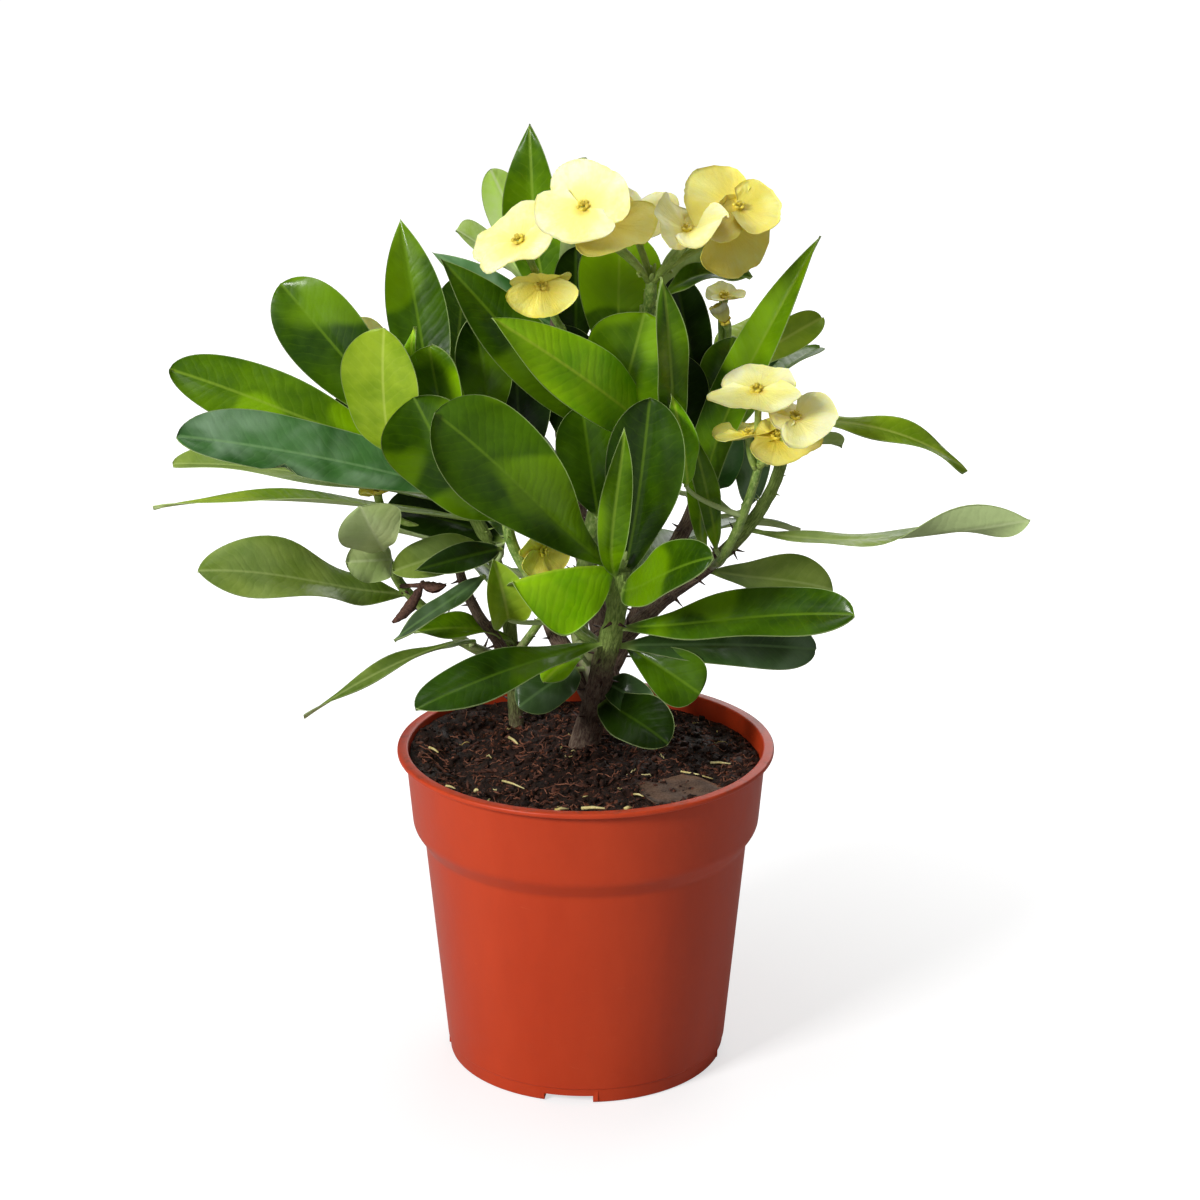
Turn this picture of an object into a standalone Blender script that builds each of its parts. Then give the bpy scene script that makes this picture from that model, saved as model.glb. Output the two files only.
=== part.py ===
"""A crown-of-thorns euphorbia in its nursery pot, as separate closed solids.

The pot stands on z = 0 with its axis on the Z axis. Plant positions are counted in
millimetres from the centre of the soil surface, for a plant DRAWN_HEIGHT tall, and
grow with PLANT_HEIGHT. The camera side of the plant is -Y.
"""
import math
from dataclasses import dataclass

import bmesh
import bpy
from mathutils import Matrix, Vector

MM = 0.001

# Pot, in millimetres
RIM_RADIUS = 60.0
POT_HEIGHT = 104.4
BASE_RADIUS = 44.8
WALL = 1.5
FLOOR = 1.6
LIP_WIDTH = 2.6
LIP_DEPTH = 1.6
COLLAR_DEPTH = 25.4
COLLAR_TAPER = 2.1
COLLAR_STEP = 3.6
COLLAR_CHAMFER = 5.4
FOOT_HEIGHT = 5.0
FOOT_STEP = 0.3
CHANNEL_WIDTH = 15.5
CHANNEL_HEIGHT = 2.4
CHANNEL_START = 16.0
CHANNEL_TURN = math.radians(-7.0)
DRAIN_RADIUS = 3.0
DRAIN_CIRCLE = 27.0

# Soil, in millimetres
SOIL_BELOW_RIM = 6.4
SOIL_MOUND = 1.8
GAP = 0.3
SOCKET_DEPTH = 20.0

# Plant, in millimetres
PLANT_HEIGHT = 198.0
DRAWN_HEIGHT = 198.0
STEM_GIRTH = 1.0
LEAF_THICKNESS = 0.8
PETIOLE_WIDTH = 1.7
TIP_WIDTH = 0.9
BRACT_THICKNESS = 0.9
STALK_RADIUS = 0.9
CYATHIUM_RADIUS = 2.3

POT_STEPS = 48
GROWTH = PLANT_HEIGHT / DRAWN_HEIGHT
SOIL_TOP = POT_HEIGHT - SOIL_BELOW_RIM


@dataclass(frozen=True)
class Stem:
    """A route up the plant, with its thickness where it starts and ends."""

    name: str
    route: tuple
    start_radius: float
    end_radius: float
    parent: str = ""
    colour: str = "bark"


@dataclass(frozen=True)
class Leaf:
    """A blade from a stem, at a height on it, to its tip at a reach from there."""

    name: str
    stem: str
    height: float
    reach: tuple
    width: float
    faces: tuple
    arch: float = 3.0
    twist: float = 0.0
    shape: str = "spoon"
    spread: float = 0.1


@dataclass(frozen=True)
class Flower:
    """A pair of bracts round a cyathium, on a stalk from a flower stem."""

    name: str
    stem: str
    height: float
    centre: tuple
    faces: tuple
    radius: float
    spin: float = 0.0
    cup: float = 3.0


STEMS = (
    Stem("main_stem", ((-3, 14, -20), (-1, 12, 0), (3, 8, 16), (6, 0, 35),
                       (9, -8, 50), (11, -14, 69)), 5.4, 2.7),
    Stem("top_branch", ((4, 5, 24), (-2, 13, 40), (0, 15, 62), (5, 12, 87),
                        (10, 9, 108), (15, 7, 128), (18, 6, 140), (19, 6, 147)),
         3.1, 2.3, "main_stem", "green"),
    Stem("right_branch", ((7, -1, 37), (18, 9, 45), (28, 20, 51), (38, 22, 58),
                          (45, 18, 67), (51, 12, 80), (55, 8, 91), (57, 6, 101)),
         3.0, 2.2, "main_stem"),
    Stem("left_stem", ((-22, 33, -20), (-23, 31, 0), (-24, 29, 24), (-26, 26, 46),
                       (-31, 23, 65), (-39, 19, 83), (-46, 14, 99), (-51, 11, 116)),
         3.0, 2.1, "", "green"),
    Stem("low_left_branch", ((-25, 27, 38), (-40, 24, 44), (-51, 19, 51),
                             (-60, 13, 63), (-66, 8, 73)), 2.3, 1.7, "left_stem",
         "green"),
    Stem("back_stem", ((14, 34, -20), (11, 36, 0), (6, 43, 22), (0, 44, 54),
                       (-5, 40, 85), (-8, 36, 110), (-9, 32, 130), (-8, 30, 146)),
         4.0, 2.3),
    Stem("rear_right_stem", ((8, 42, 16), (21, 50, 41), (34, 50, 66), (41, 44, 92),
                             (43, 38, 113), (44, 35, 130)), 2.9, 2.0, "back_stem"),
    Stem("front_left_shoot", ((7, -2, 37), (-3, -1, 46), (-14, -4, 59),
                              (-22, -6, 73), (-25, -8, 87)), 2.1, 1.7, "main_stem",
         "green"),
    Stem("top_flower_stem", ((18, 6, 140), (19, 5, 150), (20, 1, 160),
                             (21, -3, 174)), 1.6, 1.3, "top_branch", "green"),
    Stem("side_flower_stem", ((42, 19, 63), (45, 7, 69), (51, 0, 84), (55, -3, 98),
                              (57, -4, 107)), 1.9, 1.5, "right_branch", "green"),
)

LEAVES = (
    Leaf("leaf_left_upper", "left_stem", 107, (-47, 8, 44), 21, (-0.2, -1, 0.3)),
    Leaf("leaf_left_long", "left_stem", 96, (-84, -4, 30), 20, (0, -1, 0.7), 4),
    Leaf("leaf_left_glossy", "left_stem", 70, (-90, -42, 42), 22, (0, -0.8, 1), 5),
    Leaf("leaf_left_pale", "left_stem", 80, (-95, 14, 9), 17, (0, -0.2, 1), 5),
    Leaf("leaf_left_edge", "left_stem", 75, (-102, -2, 4), 14, (0, 0.1, 1), 6, 0, "lance"),
    Leaf("leaf_left_wavy", "low_left_branch", 51, (-62, -34, 18), 22, (0, -0.8, 1), 6),
    Leaf("leaf_upright", "left_stem", 112, (-5, 20, 57), 17, (0.1, -1, 0.1), 2),
    Leaf("leaf_young_left", "left_stem", 104, (-9, -10, 36), 22, (-0.2, -1, 0.2), 3, 0,
         "oval"),
    Leaf("leaf_behind_left", "left_stem", 100, (8, 30, 48), 17, (0, -1, 0.1)),
    Leaf("leaf_long_dark", "top_branch", 106, (-49, -10, 56), 13, (0.4, -1, 0.4), 3, 0,
         "lance"),
    Leaf("leaf_top", "back_stem", 140, (-9, 6, 58), 18, (-0.2, -1, 0.1), 3, 0, "lance"),
    Leaf("leaf_bright", "top_branch", 111, (-37, -44, 42), 19, (0.3, -1, 0.9), 4, 0,
         "lance"),
    Leaf("leaf_round_top", "top_branch", 119, (5, -10, 29), 25, (-0.1, -1, 0.1), 2, 0,
         "oval"),
    Leaf("leaf_narrow_centre", "top_branch", 98, (17, -22, 60), 11, (0.3, -1, 0.1), 1,
         0, "lance", 0.45),
    Leaf("leaf_broad_behind", "top_branch", 122, (-6, 16, 40), 22, (0, -1, 0), 2),
    Leaf("leaf_big_front", "main_stem", 69, (-57, -30, 58), 25, (-0.1, -1, 1.0), 6),
    Leaf("leaf_dark_front", "front_left_shoot", 83, (-31, -12, 41), 23, (-0.3, -1, 0.4),
         4),
    Leaf("leaf_small_ellipse", "main_stem", 67, (2, -20, 48), 10, (0.1, -1, 0.3), 2, 0,
         "lance"),
    Leaf("leaf_large_centre", "main_stem", 64, (8, -4, 56), 24, (0.2, -1, 0), 3),
    Leaf("leaf_right_dark", "rear_right_stem", 98, (-1, -20, 36), 15, (0.1, -1, 0.4)),
    Leaf("leaf_right_tall", "right_branch", 60, (37, -20, 110), 15, (-1, -0.9, 0.4), 10,
         0, "lance"),
    Leaf("leaf_rear_blue", "rear_right_stem", 109, (20, 12, 28), 13, (0.2, -1, 0.2)),
    Leaf("leaf_right_high", "right_branch", 96, (68, 8, -4), 15, (0, -0.6, 1), 8),
    Leaf("leaf_right_far", "right_branch", 78, (88, -24, 8), 19, (0, -0.5, 1), -8, -10),
    Leaf("leaf_right_olive", "right_branch", 58, (42, 8, -10), 16, (0, -0.6, 1), 4),
    Leaf("leaf_round_right", "main_stem", 62, (27, -44, 22), 18, (0.1, -0.7, 1), 4, 0,
         "oval"),
    Leaf("leaf_low_glossy", "main_stem", 48, (72, -36, 13), 18, (0, -0.6, 1), 5),
    Leaf("leaf_low_dark", "main_stem", 40, (66, 8, -4), 17, (0, -0.5, 1), 4),
    Leaf("leaf_low_bright", "main_stem", 60, (-31, -46, 22), 19, (0, -0.6, 1), -3),
    Leaf("leaf_low_left", "main_stem", 42, (-58, -48, -5), 16, (0, -0.7, 1), 4),
    Leaf("leaf_low_round", "main_stem", 20, (25, -27, -10), 18, (0.1, -1, 0.9), 3, 0,
         "oval"),
    Leaf("leaf_back_left", "left_stem", 88, (-44, 62, 22), 20, (-0.2, 0.4, 1), 6),
    Leaf("leaf_back_low", "left_stem", 44, (-30, 55, 12), 18, (0, 0.4, 1), 5),
    Leaf("leaf_back_centre", "back_stem", 98, (-14, 62, 34), 21, (0, 0.6, 1), 6),
    Leaf("leaf_back_right", "rear_right_stem", 84, (40, 52, 28), 19, (0.2, 0.6, 1), 6),
    Leaf("leaf_back_base", "back_stem", 34, (34, 58, 10), 18, (0.2, 0.4, 1), 5),
)

FLOWERS = (
    Flower("flower_centre", "top_flower_stem", 173, (0, -30, 183), (-0.25, -0.6, 0.8), 15),
    Flower("flower_under_centre", "top_flower_stem", 160, (8, -23, 165),
           (0.25, -0.3, 1), 13, 30),
    Flower("flower_left", "top_flower_stem", 155, (-17, -24, 173), (-0.35, -0.7, 0.75),
           14, 20),
    Flower("flower_hanging", "top_flower_stem", 151, (-12, -15, 158), (0.2, -0.5, -0.5),
           11, 0, 4),
    Flower("flower_right", "top_flower_stem", 161, (30, -20, 177), (0.1, -0.45, 0.9), 13,
           90),
    Flower("flower_far_right", "top_flower_stem", 165, (44, -2, 180), (0.8, -0.2, 0.5),
           15, 60),
    Flower("flower_behind", "top_flower_stem", 166, (17, 3, 179), (0, 0.4, 0.9), 12, 40),
    Flower("flower_side_top", "side_flower_stem", 104, (51, -13, 127), (-0.2, -0.4, 0.9),
           14, 10),
    Flower("flower_side_low", "side_flower_stem", 101, (67, -19, 114), (0.4, -0.7, 0.7),
           13, 30),
    Flower("flower_rear", "rear_right_stem", 126, (47, 30, 142), (0.1, 0.1, 1), 8),
    Flower("flower_rear_left", "left_stem", 110, (-72, 40, 126), (-0.3, 0.5, 0.8), 11),
)

OUTLINES = {"spoon": (0.9, 3.5, 0.6), "lance": (0.9, 2.0, 1.1), "oval": (0.6, 3.0, 0.6)}
BLADE_ROWS = (0.0, 0.1, 0.22, 0.36, 0.5, 0.63, 0.76, 0.88, 0.96, 1.0)

POT_RED = (0.58, 0.08, 0.03)
SOIL_BROWN = (0.03, 0.014, 0.008)
BARK = (0.16, 0.10, 0.07)
STEM_GREEN = (0.12, 0.24, 0.03)
LEAF_GREEN = (0.05, 0.16, 0.01)
BRACT_YELLOW = (0.92, 0.82, 0.30)
WITHERED_BROWN = (0.09, 0.03, 0.02)


def clear_scene():
    """Remove every object that the session starts with."""
    for old in list(bpy.data.objects):
        bpy.data.objects.remove(old, do_unlink=True)


def make_material(name, colour, roughness):
    """A Principled material of one colour."""
    material = bpy.data.materials.new(name)
    material.use_nodes = True
    shader = material.node_tree.nodes["Principled BSDF"]
    shader.inputs["Base Color"].default_value = (*colour, 1.0)
    shader.inputs["Roughness"].default_value = roughness
    return material


def make_collection(name):
    """A collection in the scene."""
    group = bpy.data.collections.new(name)
    bpy.context.scene.collection.children.link(group)
    return group


def place(name, data, group, material=None):
    """Put mesh or curve data into the scene as a named object."""
    made = bpy.data.objects.new(name, data)
    group.objects.link(made)
    if material:
        data.materials.append(material)
    return made


def grown(point):
    """A plant position in metres, from millimetres over the soil's centre."""
    return Vector((point[0] * GROWTH, point[1] * GROWTH, SOIL_TOP + point[2] * GROWTH)) * MM


def smooth_route(route, per_span=3):
    """Points of a Catmull-Rom curve through the grown route."""
    knots = [grown(point) for point in route]
    knots = [2 * knots[0] - knots[1], *knots, 2 * knots[-1] - knots[-2]]
    points = []
    for a, b, c, d in zip(knots, knots[1:], knots[2:], knots[3:]):
        for step in range(per_span):
            t = step / per_span
            points.append(0.5 * (2 * b + (c - a) * t + (2 * a - 5 * b + 4 * c - d) * t * t
                                 + (3 * b - a - 3 * c + d) * t ** 3))
    return [*points, knots[-2]]


def stem_radius(stem, share):
    """The radius in metres at a share of a stem's length."""
    return (stem.start_radius + (stem.end_radius - stem.start_radius) * share) \
        * STEM_GIRTH * MM


def tube_curve(name, points, radii, group):
    """A round tube as a curve with a radius at each of its points."""
    curve = bpy.data.curves.new(name, "CURVE")
    curve.dimensions = "3D"
    curve.bevel_depth = 1.0
    curve.bevel_resolution = 2
    curve.use_fill_caps = True
    line = curve.splines.new("POLY")
    line.points.add(len(points) - 1)
    for knot, point, radius in zip(line.points, points, radii):
        knot.co = (*point, 1.0)
        knot.radius = radius
    return place(name, curve, group)


def tube_mesh(name, points, radii, group, material=None):
    """The same tube as a closed mesh, which can be cut or joined."""
    source = tube_curve(name + "_curve", points, radii, group)
    bpy.context.view_layer.update()
    evaluated = source.evaluated_get(bpy.context.evaluated_depsgraph_get())
    mesh = bpy.data.meshes.new_from_object(evaluated)
    bpy.data.objects.remove(source, do_unlink=True)
    shape = bmesh.new()
    shape.from_mesh(mesh)
    bmesh.ops.remove_doubles(shape, verts=shape.verts, dist=1e-6)
    bmesh.ops.recalc_face_normals(shape, faces=shape.faces)
    shape.to_mesh(mesh)
    shape.free()
    mesh.materials.clear()
    mesh.shade_smooth()
    return place(name, mesh, group, material)


def boolean(target, other, operation):
    """Cut a guide object from a target, or join it on."""
    step = target.modifiers.new(other.name, "BOOLEAN")
    step.operation = operation
    step.solver = "EXACT"
    step.object = other


def hide_guide(guide):
    """Show a cutter as wire and keep it out of renders."""
    guide.hide_render = True
    guide.display_type = "WIRE"
    return guide


def turned(name, outline, group, material=None):
    """A solid of revolution from an outline of radius and height in millimetres."""
    shape = bmesh.new()
    corners = [shape.verts.new((radius * MM, 0, height * MM)) for radius, height in outline]
    for start, end in zip(corners, corners[1:]):
        shape.edges.new((start, end))
    mesh = bpy.data.meshes.new(name)
    shape.to_mesh(mesh)
    shape.free()
    made = place(name, mesh, group, material)
    screw = made.modifiers.new("turn", "SCREW")
    screw.steps = POT_STEPS
    screw.render_steps = POT_STEPS
    screw.use_merge_vertices = True
    screw.merge_threshold = 0.00001
    screw.use_smooth_shade = True
    return made


def wall_radius(height):
    """The pot's outer radius at a height, in millimetres, below its collar."""
    top = RIM_RADIUS - LIP_WIDTH - COLLAR_TAPER - COLLAR_STEP
    shoulder = POT_HEIGHT - COLLAR_DEPTH - COLLAR_CHAMFER
    return BASE_RADIUS + (top - BASE_RADIUS) * height / shoulder


def pot_outline():
    """The pot's section, down its outside and up its inside."""
    collar_top = RIM_RADIUS - LIP_WIDTH
    collar_base = collar_top - COLLAR_TAPER
    collar_foot = POT_HEIGHT - COLLAR_DEPTH
    shoulder = collar_foot - COLLAR_CHAMFER
    return [
        (collar_top - WALL, POT_HEIGHT),
        (RIM_RADIUS, POT_HEIGHT),
        (RIM_RADIUS, POT_HEIGHT - LIP_DEPTH),
        (collar_top, POT_HEIGHT - LIP_DEPTH),
        (collar_base, collar_foot),
        (wall_radius(shoulder), shoulder),
        (wall_radius(FOOT_HEIGHT), FOOT_HEIGHT),
        (wall_radius(FOOT_HEIGHT) - FOOT_STEP, FOOT_HEIGHT - FOOT_STEP),
        (BASE_RADIUS - FOOT_STEP, 0),
        (0, 0),
        (0, FLOOR),
        (BASE_RADIUS - FOOT_STEP - WALL, FLOOR),
        (wall_radius(FOOT_HEIGHT) - FOOT_STEP - WALL, FOOT_HEIGHT),
        (wall_radius(shoulder) - WALL, shoulder),
        (collar_base - WALL, collar_foot),
        (collar_top - WALL, POT_HEIGHT),
    ]


def radial_bar(name, start, end, width, low, high, turn, group):
    """A guide bar across the pot's base, from one radius to another."""
    shape = bmesh.new()
    size = Matrix.Diagonal(((end - start) * MM, width * MM, (high - low) * MM, 1.0))
    middle = Vector(((start + end) / 2, 0, (low + high) / 2)) * MM
    bmesh.ops.create_cube(shape, size=1.0, matrix=Matrix.Translation(middle) @ size)
    mesh = bpy.data.meshes.new(name)
    shape.to_mesh(mesh)
    shape.free()
    bar = hide_guide(place(name, mesh, group))
    bar.rotation_euler.z = turn
    return bar


def drain_cutter(name, turn, group):
    """A guide cylinder for one drain hole."""
    shape = bmesh.new()
    bmesh.ops.create_cone(shape, cap_ends=True, segments=20, radius1=DRAIN_RADIUS * MM,
                          radius2=DRAIN_RADIUS * MM, depth=4 * CHANNEL_HEIGHT * MM)
    bmesh.ops.translate(shape, verts=shape.verts, vec=(DRAIN_CIRCLE * MM, 0, 0))
    mesh = bpy.data.meshes.new(name)
    shape.to_mesh(mesh)
    shape.free()
    drain = hide_guide(place(name, mesh, group))
    drain.rotation_euler.z = turn
    return drain


def make_pot(parts, guides, material):
    """The pot: turned shell, raised drain channels in its base and drain holes."""
    pot = turned("pot", pot_outline(), parts, material)
    inner_end = BASE_RADIUS - FOOT_STEP - WALL / 2
    roof_height = CHANNEL_HEIGHT + FLOOR
    turns = [CHANNEL_TURN + index * math.pi / 2 for index in range(4)]
    for index, turn in enumerate(turns):
        roof = radial_bar(f"channel_roof_{index}", CHANNEL_START - FLOOR, inner_end,
                          CHANNEL_WIDTH + 2 * FLOOR, FLOOR / 2, roof_height, turn, guides)
        boolean(pot, roof, "UNION")
    for index, turn in enumerate(turns):
        channel = radial_bar(f"channel_{index}", CHANNEL_START, 1.2 * BASE_RADIUS,
                             CHANNEL_WIDTH, -FLOOR, CHANNEL_HEIGHT, turn, guides)
        boolean(pot, channel, "DIFFERENCE")
    for index, turn in enumerate(turns):
        boolean(pot, drain_cutter(f"drain_{index}", turn, guides), "DIFFERENCE")
    return pot


def make_soil(parts, guides, material):
    """The potting soil: it fills the pot, with a low mound and a socket for each stem."""
    collar_foot = POT_HEIGHT - COLLAR_DEPTH
    shoulder = collar_foot - COLLAR_CHAMFER
    inset = WALL + GAP
    collar_base = RIM_RADIUS - LIP_WIDTH - COLLAR_TAPER
    top_radius = collar_base + COLLAR_TAPER * (SOIL_TOP - collar_foot) / (COLLAR_DEPTH) - inset
    bottom = CHANNEL_HEIGHT + FLOOR + GAP
    outline = [
        (0, SOIL_TOP + SOIL_MOUND),
        (top_radius * 0.35, SOIL_TOP + SOIL_MOUND * 0.8),
        (top_radius * 0.7, SOIL_TOP + SOIL_MOUND * 0.3),
        (top_radius - 0.6, SOIL_TOP - 0.6),
        (collar_base - inset, collar_foot),
        (wall_radius(shoulder) - inset, shoulder),
        (wall_radius(FOOT_HEIGHT + 2) - inset - FOOT_STEP, FOOT_HEIGHT + 2),
        (BASE_RADIUS - FOOT_STEP - inset - 0.4, bottom),
        (0, bottom),
    ]
    soil = turned("potting_soil", outline, parts, material)
    for stem in STEMS:
        if stem.parent:
            continue
        points, radii = stem_line(stem, GAP)
        low = points[0] - (points[1] - points[0]).normalized() * GAP * MM
        socket = tube_mesh("socket_" + stem.name, [low, *points], [radii[0], *radii], guides)
        boolean(soil, hide_guide(socket), "DIFFERENCE")
    return soil


def stem_line(stem, extra=0.0):
    """A stem's points and radii in metres, with an extra radius in millimetres."""
    points = smooth_route(stem.route)
    if not stem.parent:
        depth = SOIL_TOP * MM - points[0].z
        points[0] = points[3] + (points[0] - points[3]) * (SOCKET_DEPTH * MM / depth)
        points[1:3] = [points[0].lerp(points[3], 1 / 3), points[0].lerp(points[3], 2 / 3)]
    last = len(points) - 1
    return points, [stem_radius(stem, i / last) + extra * MM for i in range(last + 1)]


def stem_at(stem, height):
    """A stem's axis point, direction and radius at a height over the soil."""
    points, radii = stem_line(stem)
    level = (SOIL_TOP + height * GROWTH) * MM
    for low, high, r_low, r_high in zip(points, points[1:], radii, radii[1:]):
        if low.z <= level <= high.z:
            share = (level - low.z) / (high.z - low.z)
            return low.lerp(high, share), (high - low).normalized(), \
                r_low + (r_high - r_low) * share
    return points[-1], (points[-1] - points[-2]).normalized(), radii[-1]


def make_stem(stem, lookup, parts, guides, material):
    """A stem. A branch is cut to sit on its parent with a small gap."""
    points, radii = stem_line(stem)
    made = tube_mesh(stem.name, points, radii, parts, material)
    if stem.parent:
        fat_points, fat_radii = stem_line(lookup[stem.parent], GAP)
        cutter = tube_mesh("saddle_" + stem.name, fat_points, fat_radii, guides)
        boolean(made, hide_guide(cutter), "DIFFERENCE")
    return made


def across(vector, direction):
    """The part of a vector at right angles to a direction, at unit length."""
    return (vector - vector.dot(direction) * direction).normalized()


def bezier(points, t):
    """A point and its direction on a cubic Bezier curve."""
    a, b, c, d = points
    s = 1 - t
    position = a * s ** 3 + b * 3 * s * s * t + c * 3 * s * t * t + d * t ** 3
    slope = (b - a) * s * s + (c - b) * 2 * s * t + (d - c) * t * t
    return position, slope.normalized()


def midrib(leaf, stem):
    """The four control points of a leaf's midrib, and its unit facing."""
    axis, along, radius = stem_at(stem, leaf.height)
    tip = axis + Vector(leaf.reach) * GROWTH * MM
    out = across(tip - axis, along)
    base = axis + out * (radius + (GAP + PETIOLE_WIDTH * 0.5) * MM)
    chord = tip - base
    facing = across(Vector(leaf.faces), chord.normalized())
    bow = facing * leaf.arch * GROWTH * MM / 0.75
    length = chord.length
    return [base, base + out * leaf.spread * length + chord * 0.2 + bow,
            tip - chord * 0.33 + bow, tip], facing


def half_width(leaf, t):
    """Half a blade's width in metres at a share of its length."""
    rise, blunt, fall = OUTLINES[leaf.shape]
    widest = (rise / (rise + blunt * fall)) ** (1 / blunt)
    peak = widest ** rise * (1 - widest ** blunt) ** fall
    swell = t ** rise * (1 - t ** blunt) ** fall / peak
    least = PETIOLE_WIDTH if t < 0.5 else TIP_WIDTH
    return max(least, leaf.width * GROWTH * swell) * MM / 2


def make_leaf(leaf, lookup, parts, material):
    """A leaf: an open blade along its midrib, slightly folded, made solid."""
    line, facing = midrib(leaf, lookup[leaf.stem])
    shape = bmesh.new()
    rows = []
    for t in BLADE_ROWS:
        position, along = bezier(line, t)
        up = across(facing, along)
        up.rotate(Matrix.Rotation(math.radians(leaf.twist) * t, 3, along))
        side = along.cross(up)
        reach = half_width(leaf, t)
        rows.append([shape.verts.new(position + side * reach * where + up * reach * fold)
                     for where, fold in ((-1, 0.12), (0, 0), (1, 0.12))])
    for low, high in zip(rows, rows[1:]):
        for column in range(2):
            shape.faces.new((low[column], low[column + 1], high[column + 1], high[column]))
    mesh = bpy.data.meshes.new(leaf.name)
    shape.to_mesh(mesh)
    shape.free()
    mesh.shade_smooth()
    made = place(leaf.name, mesh, parts, material)
    solid = made.modifiers.new("thickness", "SOLIDIFY")
    solid.thickness = LEAF_THICKNESS * MM
    solid.offset = 0.0
    return made


def bract_shape(name, flower, group, material):
    """The bract pair: a cupped two-lobed disc round a raised centre."""
    rings, spokes = 2, 16
    shape = bmesh.new()
    radius = flower.radius * GROWTH
    rows = []
    for ring in range(1, rings + 1):
        share = ring / rings
        row = []
        for spoke in range(spokes):
            angle = 2 * math.pi * spoke / spokes
            notch = 1 - 0.16 * share * abs(math.cos(angle)) ** 6
            lift = flower.cup * GROWTH * share * share * (0.4 + 0.6 * abs(math.sin(angle)))
            row.append(shape.verts.new((radius * share * notch * math.cos(angle) * MM,
                                        radius * share * notch * math.sin(angle) * MM,
                                        lift * MM)))
        rows.append(row)
    hub = shape.verts.new((0, 0, 0))
    for spoke in range(spokes):
        after = (spoke + 1) % spokes
        shape.faces.new((hub, rows[0][spoke], rows[0][after]))
        for inner, outer in zip(rows, rows[1:]):
            shape.faces.new((inner[spoke], outer[spoke], outer[after], inner[after]))
    mesh = bpy.data.meshes.new(name)
    shape.to_mesh(mesh)
    shape.free()
    mesh.shade_smooth()
    made = place(name, mesh, group, material)
    solid = made.modifiers.new("thickness", "SOLIDIFY")
    solid.thickness = BRACT_THICKNESS * MM
    solid.offset = 0.0
    return made


def make_flower(flower, lookup, parts, guides, material):
    """A flower: bracts, the cyathium in their middle and the stalk behind."""
    made = bract_shape(flower.name, flower, parts, material)
    centre = grown(flower.centre)
    facing = Vector(flower.faces).normalized()
    turn = Matrix.Rotation(math.radians(flower.spin), 4, "Z")
    made.matrix_world = Matrix.Translation(centre) @ facing.to_track_quat("Z", "Y").to_matrix() \
        .to_4x4() @ turn
    shape = bmesh.new()
    bmesh.ops.create_uvsphere(shape, u_segments=6, v_segments=4, radius=CYATHIUM_RADIUS * MM)
    bmesh.ops.translate(shape, verts=shape.verts, vec=centre + facing * CYATHIUM_RADIUS * 0.6 * MM)
    ball = bpy.data.meshes.new(flower.name + "_cyathium")
    shape.to_mesh(ball)
    shape.free()
    boolean(made, hide_guide(place(ball.name, ball, guides)), "UNION")
    axis, along, radius = stem_at(lookup[flower.stem], flower.height)
    out = across(centre - axis, along)
    start = axis + out * (radius + (GAP + STALK_RADIUS * 0.5) * MM)
    span = (centre - start).length
    line = [start, start + out * span * 0.3, centre - facing * span * 0.35,
            centre + facing * 0.6 * MM]
    points = [bezier(line, step / 5)[0] for step in range(6)]
    stalk = tube_mesh(flower.name + "_stalk", points, [STALK_RADIUS * MM] * 6, guides)
    boolean(made, hide_guide(stalk), "UNION")
    return made


def make_withered_flower(lookup, parts, material):
    """A dried bract pair that hangs from the low left branch."""
    axis, along, radius = stem_at(lookup["low_left_branch"], 47)
    start = axis + Vector((0, -1, -0.2)).normalized() * (radius + GAP * 2 * MM)
    end = start + Vector((-12, -10, -8)) * GROWTH * MM
    middle = start.lerp(end, 0.5) + Vector((0, 0, -2)) * MM
    girths = (0.8, 1.6, 2.6, 1.0)
    points = [start, start.lerp(middle, 0.6), middle, end]
    return tube_mesh("withered_flower", points, [g * MM for g in girths], parts, material)


def main():
    """Build the pot, soil and plant."""
    clear_scene()
    parts = make_collection("potted_euphorbia")
    guides = make_collection("cutters")
    lookup = {stem.name: stem for stem in STEMS}
    make_pot(parts, guides, make_material("pot_plastic", POT_RED, 0.45))
    make_soil(parts, guides, make_material("soil", SOIL_BROWN, 0.95))
    stem_materials = {"bark": make_material("bark", BARK, 0.8),
                      "green": make_material("green_stem", STEM_GREEN, 0.5)}
    for stem in STEMS:
        make_stem(stem, lookup, parts, guides, stem_materials[stem.colour])
    for leaf in LEAVES:
        make_leaf(leaf, lookup, parts, make_material(leaf.name, LEAF_GREEN, 0.35))
    for flower in FLOWERS:
        make_flower(flower, lookup, parts, guides, make_material(flower.name, BRACT_YELLOW, 0.5))
    make_withered_flower(lookup, parts, make_material("withered", WITHERED_BROWN, 0.9))


main()
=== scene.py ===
"""Looks of a potted crown-of-thorns euphorbia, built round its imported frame.

Lengths in the classes are millimetres. Plant positions are counted from the centre
of the soil surface, with -Y towards the side that the plant shows best.
"""
from __future__ import annotations

import logging
import math
import random
from dataclasses import dataclass, field
from enum import Enum
from typing import Any, Callable, Sequence

import bmesh
import bpy
from mathutils import Matrix, Vector, noise


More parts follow.
